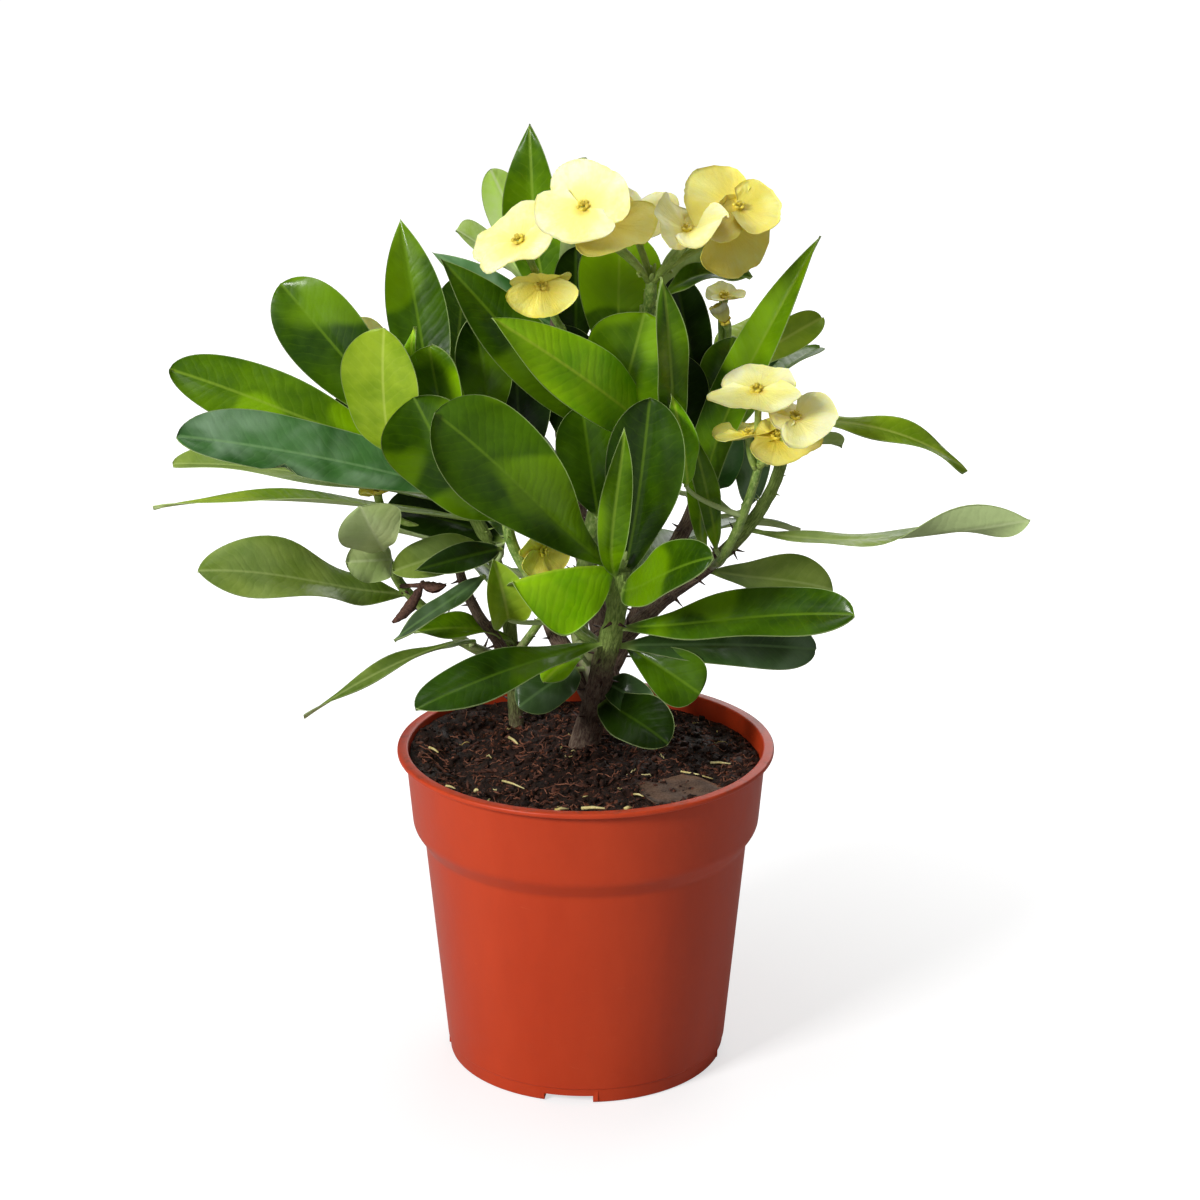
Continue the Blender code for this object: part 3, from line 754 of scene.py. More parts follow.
# Columns: dark, light, underside, rib, painted sheen tint, painted sheen share, gloss, share of painted
# patches of light. NIGHT's near-black colours are painted shade.
LEAF_SKINS: dict[Tone, LeafSkin] = {tone: LeafSkin("leaf_" + tone.value, *look) for tone, look in {
    Tone.NIGHT: ("0E1E00", "203802", "4A6420", "3E5812", "4E7A4C", 0.04, 0.15),
    Tone.DEEP: ("142A00", "305200", "7E9A3C", "587A1A", "6A9A58", 0.05, 0.3, 0.12),
    Tone.DARK: ("1F3C00", "4A7000", "7E9A3C", "70941E", "70A05C", 0.04, 0.35, 0.3),
    Tone.GREEN: ("345800", "648C00", "90AC44", "8EAC34", "80A854", 0.04, 0.18, 0.5),
    Tone.FRESH: ("688A08", "A0BA2A", "B0C468", "BCCC5C", "B6CE80", 0.05, 0.1),
    Tone.BRIGHT: ("6EAC00", "A0D408", "A8CC50", "C8E044", "C4DC80", 0.04, 0.1),
    Tone.BLUE: ("28541C", "4E8040", "7E9C70", "84AC70", "AECCAC", 0.5, 0.4),
    Tone.SLATE: ("20380C", "40602A", "7A9468", "6C8C54", "96B090", 0.3, 0.4),
    Tone.OLIVE: ("5A761C", "8CA048", "A4B67C", "A8BA6C", "B0C090", 0.15, 0.1),
    Tone.PALE: ("90A85C", "BCCA88", "B4C48A", "CCD8A2", "CAD8B2", 0.25, 0.06),
}.items()}


# -------------------------------------------------------------------- meshes


class Sculpt:
    """The mesh of one piece while it is being shaped."""

    def __init__(self, name: str, *finishes: bpy.types.Material) -> None:
        """Start an empty mesh with its materials in order."""
        self.name = name
        self.finishes = finishes
        self.shape = bmesh.new()
        self.paint = self.shape.verts.layers.float_vector.new("paint")
        self.paint_mm = self.shape.verts.layers.float_vector.new("paint_mm")

    def corner(self, place: Vector, paint: Sequence[float] = (0, 0, 0),
               paint_mm: Sequence[float] = (0, 0, 0)) -> bmesh.types.BMVert:
        """Add a vertex with its paint coordinates."""
        made = self.shape.verts.new(place)
        made[self.paint] = paint
        made[self.paint_mm] = paint_mm
        return made

    def face(self, corners: Sequence[bmesh.types.BMVert], finish: int) -> None:
        """Add a face of a finish."""
        made = self.shape.faces.new(corners)
        made.material_index = finish
        made.smooth = True

    def loft(self, rows: Sequence[Sequence[bmesh.types.BMVert]], finish: int = 0,
             around: bool = False, flip: bool = False) -> None:
        """Join rows of vertices with faces.

        Args:
            rows: The rows, all of one length.
            finish: The index of the finish.
            around: Whether each row closes on itself.
            flip: Whether the faces point the other way.
        """
        count = len(rows[0])
        for low, high in zip(rows, rows[1:]):
            for i in range(count if around else count - 1):
                j = (i + 1) % count
                quad = [low[i], low[j], high[j], high[i]]
                self.face(quad[::-1] if flip else quad, finish)

    def fan(self, ring: Sequence[bmesh.types.BMVert], hub: bmesh.types.BMVert, finish: int = 0,
            flip: bool = False) -> None:
        """Close a ring to one vertex."""
        for i, corner in enumerate(ring):
            trio = [corner, ring[(i + 1) % len(ring)], hub]
            self.face(trio[::-1] if flip else trio, finish)

    def tube(self, points: Sequence[Vector], radii: Sequence[float], sides: int, finish: int = 0,
             young: Sequence[float] = (0.0, 1.0),
             swell: Callable[[float, float, Vector], float] | None = None) -> None:
        """Add a closed round tube.

        Args:
            points: Its centre line in metres.
            radii: Its radius at each point, in metres.
            sides: How many vertices go round it.
            finish: The index of the finish.
            young: The third paint value at its start and end.
            swell: Extra radius in metres from the angle, the length so far in millimetres
                and the point on the plain tube.
        """
        last = len(points) - 1
        along = (points[1] - points[0]).normalized()
        side = across(Vector((0.3, -1.0, 0.2)), along)
        rows, run = [], 0.0
        for i, (point, radius) in enumerate(zip(points, radii)):
            ahead = (points[min(i + 1, last)] - points[max(i - 1, 0)]).normalized()
            side = across(side, ahead)
            up = ahead.cross(side)
            run += (point - points[i - 1]).length / MM if i else 0.0
            age = young[0] + (young[1] - young[0]) * i / last
            row = []
            for step in range(sides):
                angle = math.tau * step / sides
                out = side * math.cos(angle) + up * math.sin(angle)
                reach = radius + (swell(angle, run, point + out * radius) if swell else 0.0)
                fold = abs(step / sides - 0.5) * 2
                row.append(self.corner(point + out * reach, (fold, run, age)))
            rows.append(row)
        self.loft(rows, finish, around=True)
        self.fan(rows[-1], self.corner(points[-1] + (points[-1] - points[-2]).normalized() * radii[-1] * 0.6,
                                       (0, run, young[1])), finish)
        self.fan(rows[0], self.corner(points[0], (0, 0, young[0])), finish, flip=True)

    def spike(self, root: Vector, tip: Vector, bow: Vector, radius: float, finish: int = 0) -> None:
        """Add a thorn.

        Args:
            root: Its base in metres.
            tip: Its point in metres.
            bow: How far its middle leans out.
            radius: Its radius at the base, in metres.
            finish: The index of the finish.
        """
        middle = root.lerp(tip, 0.5) + bow
        stations = [(0.0, 1.0), (0.15, 0.62), (0.4, 0.42), (0.7, 0.25)]
        axis = (tip - root).normalized()
        side = across(Vector((0.4, 0.3, 1.0)), axis)
        up = axis.cross(side)
        rows = []
        for share, girth in stations:
            point = root.lerp(middle, share).lerp(middle.lerp(tip, share), share)
            row = []
            for k in range(6):
                out = side * math.cos(k * math.tau / 6) + up * math.sin(k * math.tau / 6)
                row.append(self.corner(point + out * radius * girth, (0, share, 0)))
            rows.append(row)
        self.loft(rows, finish, around=True)
        self.fan(rows[-1], self.corner(tip, (0, 1, 0)), finish)
        self.fan(rows[0], self.corner(root, (0, 0, 0)), finish, flip=True)

    def lump(self, centre: Vector, axes: Sequence[Vector], finish: int = 0, rings: int = 4,
             spokes: int = 7, rough: float = 0.0, seed: float = 0.0) -> None:
        """Add a rounded lump.

        Args:
            centre: Its middle in metres.
            axes: Its three half-axes.
            finish: The index of the finish.
            rings: How many rings it has between its ends.
            spokes: How many vertices each ring has.
            rough: How uneven it is, as a share of its size.
            seed: Where its unevenness is read.
        """
        a, b, c = axes

        def spot(out: float, angle: float, rise: float) -> bmesh.types.BMVert:
            """One vertex of the lump."""
            unit = Vector((out * math.cos(angle), out * math.sin(angle), rise))
            push = 1 + rough * noise.noise(unit * 1.7 + Vector((seed, seed * 0.7, 0)))
            return self.corner(centre + (a * unit.x + b * unit.y + c * unit.z) * push, (0.5, 0.5, 0.5))

        rows = []
        for ring in range(1, rings + 1):
            polar = math.pi * ring / (rings + 1)
            rows.append([spot(math.sin(polar), math.tau * k / spokes, -math.cos(polar))
                         for k in range(spokes)])
        self.loft(rows, finish, around=True)
        self.fan(rows[-1], spot(0, 0, 1), finish)
        self.fan(rows[0], spot(0, 0, -1), finish, flip=True)

    def done(self, stands_for: Sequence[str] = ()) -> bpy.types.Object:
        """Turn the shape into a piece that rides on the plant's body.

        Args:
            stands_for: The CAD nodes that the piece replaces.

        Returns:
            The piece.
        """
        mesh = bpy.data.meshes.new(self.name)
        self.shape.normal_update()
        self.shape.to_mesh(mesh)
        self.shape.free()
        for finish in self.finishes:
            mesh.materials.append(finish)
        made = bpy.data.objects.new(self.name, mesh)
        bpy.context.scene.collection.objects.link(made)
        return settle(made, stands_for)


def settle(made: bpy.types.Object, stands_for: Sequence[str] = ()) -> bpy.types.Object:
    """Let a piece ride on the body and replace its CAD nodes.

    Args:
        made: The piece.
        stands_for: The CAD nodes that it replaces.

    Returns:
        The same piece.
    """
    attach(made, "root")
    if stands_for:
        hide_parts(*stands_for)
    log.info("%s: %d vertices", made.name, len(made.data.vertices))
    return made


# ----------------------------------------------------------------------- pot


@dataclass(frozen=True)
class Pot:
    """The nursery pot: rolled lip, tapered collar, shoulder, wall and channelled base."""

    base_radius: float = 44.8
    wall: float = 0.9
    floor: float = 1.6
    lip_width: float = 2.6
    lip_depth: float = 1.6
    collar_depth: float = 25.4
    collar_taper: float = 2.1
    collar_step: float = 3.6
    collar_chamfer: float = 5.4
    foot_height: float = 5.0
    foot_step: float = 0.3
    channel_width: float = 15.5
    channel_height: float = 2.4
    channel_start: float = 16.0
    channel_turn: float = math.radians(-7.0)
    drain_radius: float = 3.0
    drain_circle: float = 27.0
    steps: int = 192

    def wall_radius(self, height: float) -> float:
        """The outer radius at a height below the collar."""
        top = RIM_RADIUS - self.lip_width - self.collar_taper - self.collar_step
        shoulder = POT_HEIGHT - self.collar_depth - self.collar_chamfer
        return self.base_radius + (top - self.base_radius) * height / shoulder

    def outline(self) -> list[tuple[float, float, float]]:
        """The section as radius, height and the rounding of each corner.

        Returns:
            The corners, from the inner rim out, down the wall and back up.
        """
        top = RIM_RADIUS - self.lip_width
        foot = POT_HEIGHT - self.collar_depth
        low = top - self.collar_taper
        shoulder = foot - self.collar_chamfer
        wall, lip = self.wall, self.lip_depth
        step = self.wall_radius(self.foot_height) - self.foot_step
        return [
            (top - wall, POT_HEIGHT, 0.6), (RIM_RADIUS, POT_HEIGHT, 0.7),
            (RIM_RADIUS, POT_HEIGHT - lip, 0.6), (top, POT_HEIGHT - lip, 0.3),
            (low, foot, 1.6), (self.wall_radius(shoulder), shoulder, 1.2),
            (self.wall_radius(self.foot_height), self.foot_height, 0.1),
            (step, self.foot_height - self.foot_step, 0.1), (self.base_radius - self.foot_step, 0, 0.5),
            (6, 0, 0.1), (5.5, 0.25, 0.1), (0, 0.25, 0), (0, self.floor, 0),
            (self.base_radius - self.foot_step - wall, self.floor, 0.5), (step - wall, self.foot_height, 0.1),
            (self.wall_radius(shoulder) - wall, shoulder, 1.2), (low - wall, foot, 1.4),
            (top - wall, POT_HEIGHT, 0.6),
        ]

    def rounded(self) -> list[tuple[float, float]]:
        """The section's points, with an arc at each corner.

        Returns:
            The radius and height of each point, in millimetres.
        """
        corners = self.outline()
        points = []
        for i, (radius, height, fillet) in enumerate(corners):
            here = Vector((radius, height))
            if fillet == 0:
                points.append((radius, height))
                continue
            before = Vector(corners[i - 1 if i else -2][:2]) - here
            after = Vector(corners[(i + 1) if i + 1 < len(corners) else 1][:2]) - here
            cut = min(fillet, before.length * 0.45, after.length * 0.45)
            start, end = here + before.normalized() * cut, here + after.normalized() * cut
            for k in range(5):
                t = k / 4
                spot = start.lerp(here, t).lerp(here.lerp(end, t), t)
                points.append((spot.x, spot.y))
        return points

    def build(self, groups: Groups) -> list[bpy.types.Object]:
        """Turn the section and cut its channels and drain holes.

        Args:
            groups: The shared node groups.

        Returns:
            The pot.
        """
        sculpt = Sculpt("nursery_pot", PotPlastic("pot_plastic").material(groups))
        turns = [math.tau * k / self.steps for k in range(self.steps)]
        rows = []
        for radius, height in self.rounded():
            if radius < 0.01:
                rows.append([sculpt.corner(Vector((0, 0, height * MM)))])
                continue
            rows.append([sculpt.corner(Vector((radius * math.cos(turn) * MM, radius * math.sin(turn) * MM,
                                               height * MM))) for turn in turns])
        for low, high in zip(rows, rows[1:]):
            if len(low) > 1 and len(high) > 1:
                sculpt.loft([low, high], 0, around=True, flip=True)
            elif len(low) > 1:
                sculpt.fan(low, high[0], 0, flip=True)
            elif len(high) > 1:
                sculpt.fan(high, low[0], 0)
        sculpt.loft([rows[-1], rows[0]], 0, around=True, flip=True)
        made = sculpt.done(["pot"])
        self._cut(made)
        return [made]

    def _guide(self, name: str, shape: bmesh.types.BMesh) -> bpy.types.Object:
        """Turn a shape into a hidden cutter.

        Args:
            name: The cutter's name.
            shape: Its shape, which is freed.

        Returns:
            The cutter.
        """
        mesh = bpy.data.meshes.new(name)
        shape.to_mesh(mesh)
        shape.free()
        made = bpy.data.objects.new(name, mesh)
        bpy.context.scene.collection.objects.link(made)
        return made

    def _bars(self, name: str, start: float, end: float, width: float, low: float,
              high: float) -> bpy.types.Object:
        """Four bars that run out from the middle of the base.

        Args:
            name: The cutter's name.
            start: The radius where the bars begin.
            end: The radius where they end.
            width: Their width.
            low: Their lower height.
            high: Their upper height.

        Returns:
            The cutter.
        """
        shape = bmesh.new()
        size = Matrix.Diagonal(((end - start) * MM, width * MM, (high - low) * MM, 1.0))
        middle = Matrix.Translation(Vector(((start + end) / 2, 0, (low + high) / 2)) * MM)
        for k in range(4):
            turn = Matrix.Rotation(self.channel_turn + k * math.pi / 2, 4, "Z")
            bmesh.ops.create_cube(shape, size=1.0, matrix=turn @ middle @ size)
        return self._guide(name, shape)

    def _cut(self, pot: bpy.types.Object) -> None:
        """Raise the channel roofs, then cut the channels and drain holes.

        Args:
            pot: The turned pot, whose mesh is replaced.
        """
        inner = self.base_radius - self.foot_step - self.wall / 2
        roof = self.channel_height + self.floor
        drains = bmesh.new()
        for k in range(4):
            turn = Matrix.Rotation(self.channel_turn + k * math.pi / 2, 4, "Z")
            spot = turn @ Matrix.Translation((self.drain_circle * MM, 0, 0))
            bmesh.ops.create_cone(drains, cap_ends=True, segments=40, radius1=self.drain_radius * MM,
                                  radius2=self.drain_radius * MM, depth=0.0096, matrix=spot)
        steps = [
            ("UNION", self._bars("channel_roofs", self.channel_start - self.floor, inner,
                                 self.channel_width + 2 * self.floor, self.floor / 2, roof)),
            ("DIFFERENCE", self._bars("channels", self.channel_start, 1.2 * self.base_radius,
                                      self.channel_width, -self.floor, self.channel_height)),
            ("DIFFERENCE", self._guide("drain_holes", drains)),
        ]
        for operation, guide in steps:
            cut = pot.modifiers.new(guide.name, "BOOLEAN")
            cut.operation = operation
            cut.solver = "EXACT"
            cut.object = guide
        bpy.context.view_layer.update()
        solid = bpy.data.meshes.new_from_object(pot.evaluated_get(bpy.context.evaluated_depsgraph_get()))
        pot.modifiers.clear()
        pot.data = solid
        solid.set_sharp_from_angle(angle=math.radians(42))
        for _, guide in steps:
            bpy.data.objects.remove(guide, do_unlink=True)


# ---------------------------------------------------------------------- soil


@dataclass(frozen=True)
class SoilBed:
    """The peat in the pot: an uneven crumbly top, loose crumbs, fibres and litter."""

    mound: float = 1.8
    bank: float = 4.7
    rough: float = 1.1
    inner: float = 55.9
    crumbs: int = 2600
    chips: int = 330
    fibres: int = 420
    straws: int = 26
    seed: int = 7
    spokes: int = 200

    def level(self, x: float, y: float) -> float:
        """The height of the surface over the soil's rim line, in millimetres.

        Args:
            x: Millimetres to the right of the middle.
            y: Millimetres behind the middle.

        Returns:
            The height.
        """
        out = math.hypot(x, y)
        swell = self.mound * (1 - smooth_step(0.0, self.inner, out))
        coarse = noise.noise(Vector((x * 0.11, y * 0.11, 3.0)))
        crumb = noise.noise(Vector((x * 0.42, y * 0.42, 9.0)))
        grit = noise.noise(Vector((x * 1.1, y * 1.1, 5.0)))
        edge = 1 - 0.6 * smooth_step(self.inner - 5, self.inner, out)
        towards = -(0.8 * x + 0.6 * y) / max(out, 1.0)
        swell += self.bank * smooth_step(self.inner - 13, self.inner, out) * smooth_step(-0.7, 0.4, towards)
        return swell + (coarse * 1.3 + crumb * 0.9 + grit * 0.45) * self.rough * edge

    def build(self, groups: Groups, pot: Pot) -> list[bpy.types.Object]:
        """Build the bed and what lies on it.

        Args:
            groups: The shared node groups.
            pot: The pot that the soil fills.

        Returns:
            The pieces.
        """
        earth = Earth("peat").material(groups)
        return [self._bed(earth, pot), self._crumbs(earth), self._chips(groups), self._fibres(groups),
                self._straws(groups), self._dead_leaf(groups)]

    def _bed(self, earth: bpy.types.Material, pot: Pot) -> bpy.types.Object:
        """The body of soil with its uneven top.

        Args:
            earth: The peat's material.
            pot: The pot that it fills.

        Returns:
            The piece.
        """
        sculpt = Sculpt("soil_bed", earth)
        rings = 66
        turns = [math.tau * k / self.spokes for k in range(self.spokes)]
        hub = sculpt.corner(Vector((0, 0, (SOIL_TOP + self.level(0, 0)) * MM)))
        rows = []
        for ring in range(1, rings + 1):
            out = self.inner * ring / rings
            spots = [(out * math.cos(turn), out * math.sin(turn)) for turn in turns]
            rows.append([sculpt.corner(Vector((x, y, SOIL_TOP + self.level(x, y))) * MM) for x, y in spots])
        foot = POT_HEIGHT - pot.collar_depth
        shoulder = foot - pot.collar_chamfer
        low = pot.channel_height + pot.floor + 0.3
        for radius, height in ((self.inner, SOIL_TOP - 6), (self.inner - 1.6, foot),
                               (pot.wall_radius(shoulder) - 2, shoulder), (pot.base_radius - 2.8, low)):
            places = [Vector((radius * math.cos(turn), radius * math.sin(turn), height)) for turn in turns]
            rows.append([sculpt.corner(place * MM) for place in places])
        sculpt.loft(rows, 0, around=True, flip=True)
        sculpt.fan(rows[0], hub, 0)
        sculpt.fan(rows[-1], sculpt.corner(Vector((0, 0, low * MM))), 0, flip=True)
        return sculpt.done(["potting_soil"])

    def _spots(self, rng: random.Random, count: int, reach: float) -> list[tuple[float, float]]:
        """Random places on the soil, evenly over its area.

        Args:
            rng: The source of their chances.
            count: How many there are.
            reach: How far out they go, in millimetres.

        Returns:
            The places, in millimetres.
        """
        places = []
        for _ in range(count):
            out, angle = reach * math.sqrt(rng.random()), rng.random() * math.tau
            places.append((out * math.cos(angle), out * math.sin(angle)))
        return places

    def _crumbs(self, earth: bpy.types.Material) -> bpy.types.Object:
        """Loose crumbs of peat, from grit to small clods.

        Args:
            earth: The peat's material.

        Returns:
            The piece.
        """
        rng = random.Random(self.seed)
        sculpt = Sculpt("soil_crumbs", earth)
        for x, y in self._spots(rng, self.crumbs, self.inner - 1.0):
            size = 0.28 + 1.15 * rng.random() ** 3
            turn = Matrix.Rotation(rng.random() * math.tau, 3, Vector((rng.random(), rng.random(), 0.5)))
            axes = [turn @ Vector(v) * size * MM for v in
                    ((1.3, 0, 0), (0, 0.9 + 0.4 * rng.random(), 0), (0, 0, 0.7))]
            centre = Vector((x, y, SOIL_TOP + self.level(x, y) + size * 0.15)) * MM
            sculpt.lump(centre, axes, 0, rings=3, spokes=6, rough=0.5, seed=x * 3.1 + y)
        return sculpt.done()

    def _chips(self, groups: Groups) -> bpy.types.Object:
        """Flat chips of bark that lie at all angles.

        Args:
            groups: The shared node groups.

        Returns:
            The piece.
        """
        rng = random.Random(self.seed + 3)
        sculpt = Sculpt("bark_chips", DeadSkin("bark_chip", "220F0A", "6A3A26").material(groups))
        for x, y in self._spots(rng, self.chips, self.inner - 2.0):
            length, breadth = rng.uniform(0.8, 2.6), rng.uniform(0.35, 0.9)
            turn = Matrix.Rotation(rng.random() * math.tau, 3, "Z") \
                @ Matrix.Rotation(rng.uniform(-0.5, 0.5), 3, "Y") \
                @ Matrix.Rotation(rng.uniform(-0.6, 0.6), 3, "X")
            axes = [turn @ Vector(axis) * MM for axis in ((length, 0, 0), (0, breadth, 0), (0, 0, 0.28))]
            centre = Vector((x, y, SOIL_TOP + self.level(x, y) + 0.3)) * MM
            sculpt.lump(centre, axes, 0, rings=3, spokes=6, rough=0.35, seed=x + y * 2.7)
        return sculpt.done()

    def _strand(self, sculpt: Sculpt, rng: random.Random, spot: tuple[float, float], length: float,
                girth: float, curl: float) -> None:
        """Lay one fibre on the soil.

        Args:
            sculpt: The mesh that it goes in.
            rng: The source of its chances.
            spot: Where it starts, in millimetres.
            length: Its length in millimetres.
            girth: Its radius in millimetres.
            curl: How strongly it bends.
        """
        x, y = spot
        heading = rng.random() * math.tau
        points = []
        for k in range(7):
            lift = 0.35 + 0.7 * abs(math.sin(k * 1.3 + x)) * rng.random()
            points.append(Vector((x, y, SOIL_TOP + self.level(x, y) + lift)) * MM)
            heading += rng.uniform(-curl, curl)
            x, y = x + length / 6 * math.cos(heading), y + length / 6 * math.sin(heading)
            out = math.hypot(x, y)
            if out > self.inner - 1.5:
                x, y = x * (self.inner - 1.5) / out, y * (self.inner - 1.5) / out
        radii = [girth * MM * (1 - 0.5 * abs(k / 3 - 1)) for k in range(7)]
        sculpt.tube(points, radii, 5, 0)

    def _fibres(self, groups: Groups) -> bpy.types.Object:
        """Reddish-brown root and peat fibres.

        Args:
            groups: The shared node groups.

        Returns:
            The piece.
        """
        rng = random.Random(self.seed + 1)
        sculpt = Sculpt("peat_fibres", DeadSkin("peat_fibre", "55291A", "A0664A").material(groups))
        for spot in self._spots(rng, self.fibres, self.inner - 2.5):
            self._strand(sculpt, rng, spot, rng.uniform(1.4, 6.0), rng.uniform(0.10, 0.26), 0.45)
        return sculpt.done()

    def _straws(self, groups: Groups) -> bpy.types.Object:
        """Pale straws and chips that lie on the peat.

        Args:
            groups: The shared node groups.

        Returns:
            The piece.
        """
        rng = random.Random(self.seed + 2)
        sculpt = Sculpt("straws", DeadSkin("straw", "B9A04E", "EDE3A8").material(groups))
        laid = (((-1, -52), (6, -54.5), 0.55), ((-26, -20), (-19, -27), 0.35), ((-25, 17), (-22, 11), 0.5),
                ((-50, 2), (-47, -1), 0.45), ((39, -2), (46, -5), 0.4), ((-30, -50), (-29, -46), 0.4),
                ((-9, -54), (-5, -52.5), 0.5), ((12, -54), (14, -53), 0.7), ((-43, -34), (-40, -35), 0.4),
                ((-34, -34), (-33, -35), 0.6), ((15, -31), (18, -34), 0.35), ((30, -14), (40, -17), 0.3))
        for (ax, ay), (bx, by), girth in laid:
            start = Vector((ax, ay, SOIL_TOP + self.level(ax, ay) + 1.0)) * MM
            end = Vector((bx, by, SOIL_TOP + self.level(bx, by) + 1.4)) * MM
            middle = start.lerp(end, 0.5) + Vector((0, 0, 0.3 * MM))
            sculpt.tube([start, middle, end], [girth * MM, girth * MM * 0.9, girth * MM * 0.5], 6, 0)
        for spot in self._spots(rng, self.straws, self.inner - 4):
            self._strand(sculpt, rng, spot, rng.uniform(1.5, 4.5), rng.uniform(0.12, 0.26), 0.12)
        return sculpt.done()

    def _dead_leaf(self, groups: Groups) -> bpy.types.Object:
        """A flat brown leaf that has sunk into the peat.

        Args:
            groups: The shared node groups.

        Returns:
            The piece.
        """
        sculpt = Sculpt("dead_leaf", DeadSkin("dead_leaf", "3A281C", "745642").material(groups))
        start, end, width = Vector((16, -24)), Vector((45, -34)), 12.0
        way = end - start
        side = Vector((-way.y, way.x)).normalized()
        tops, unders = [], []
        for i in range(15):
            t = i / 14
            reach = width * max(0.03, math.sin(math.pi * t) ** 0.7)
            row, base = [], []
            for j in range(-4, 5):
                spot = start + way * t + side * reach * j / 4
                sag = self.level(spot.x, spot.y) * 0.35 + 1.5 + 0.5 * math.sin(t * 9 + j) - 0.3 * (j == 0)
                row.append(sculpt.corner(Vector((spot.x, spot.y, SOIL_TOP + sag)) * MM))
                base.append(sculpt.corner(Vector((spot.x, spot.y, SOIL_TOP + sag - 0.35)) * MM))
            tops.append(row)
            unders.append(base)
        close_blade(sculpt, tops, unders, 0)
        return sculpt.done()


def close_blade(sculpt: Sculpt, tops: Sequence[Sequence[Any]], unders: Sequence[Sequence[Any]],
                finish: int) -> None:
    """Join an upper and a lower sheet into one thin closed blade.

    Args:
        sculpt: The mesh that holds them.
        tops: Rows of the upper sheet.
        unders: Rows of the lower sheet, in the same order.
        finish: The index of the finish.
    """
    sculpt.loft(tops, finish)
    sculpt.loft(unders, finish, flip=True)
    for column, flip in ((0, True), (-1, False)):
        sculpt.loft([[row[column] for row in tops], [row[column] for row in unders]], finish, flip=flip)
    for row, flip in ((0, False), (-1, True)):
        sculpt.loft([tops[row], unders[row]], finish, flip=flip)


# --------------------------------------------------------------------- stems


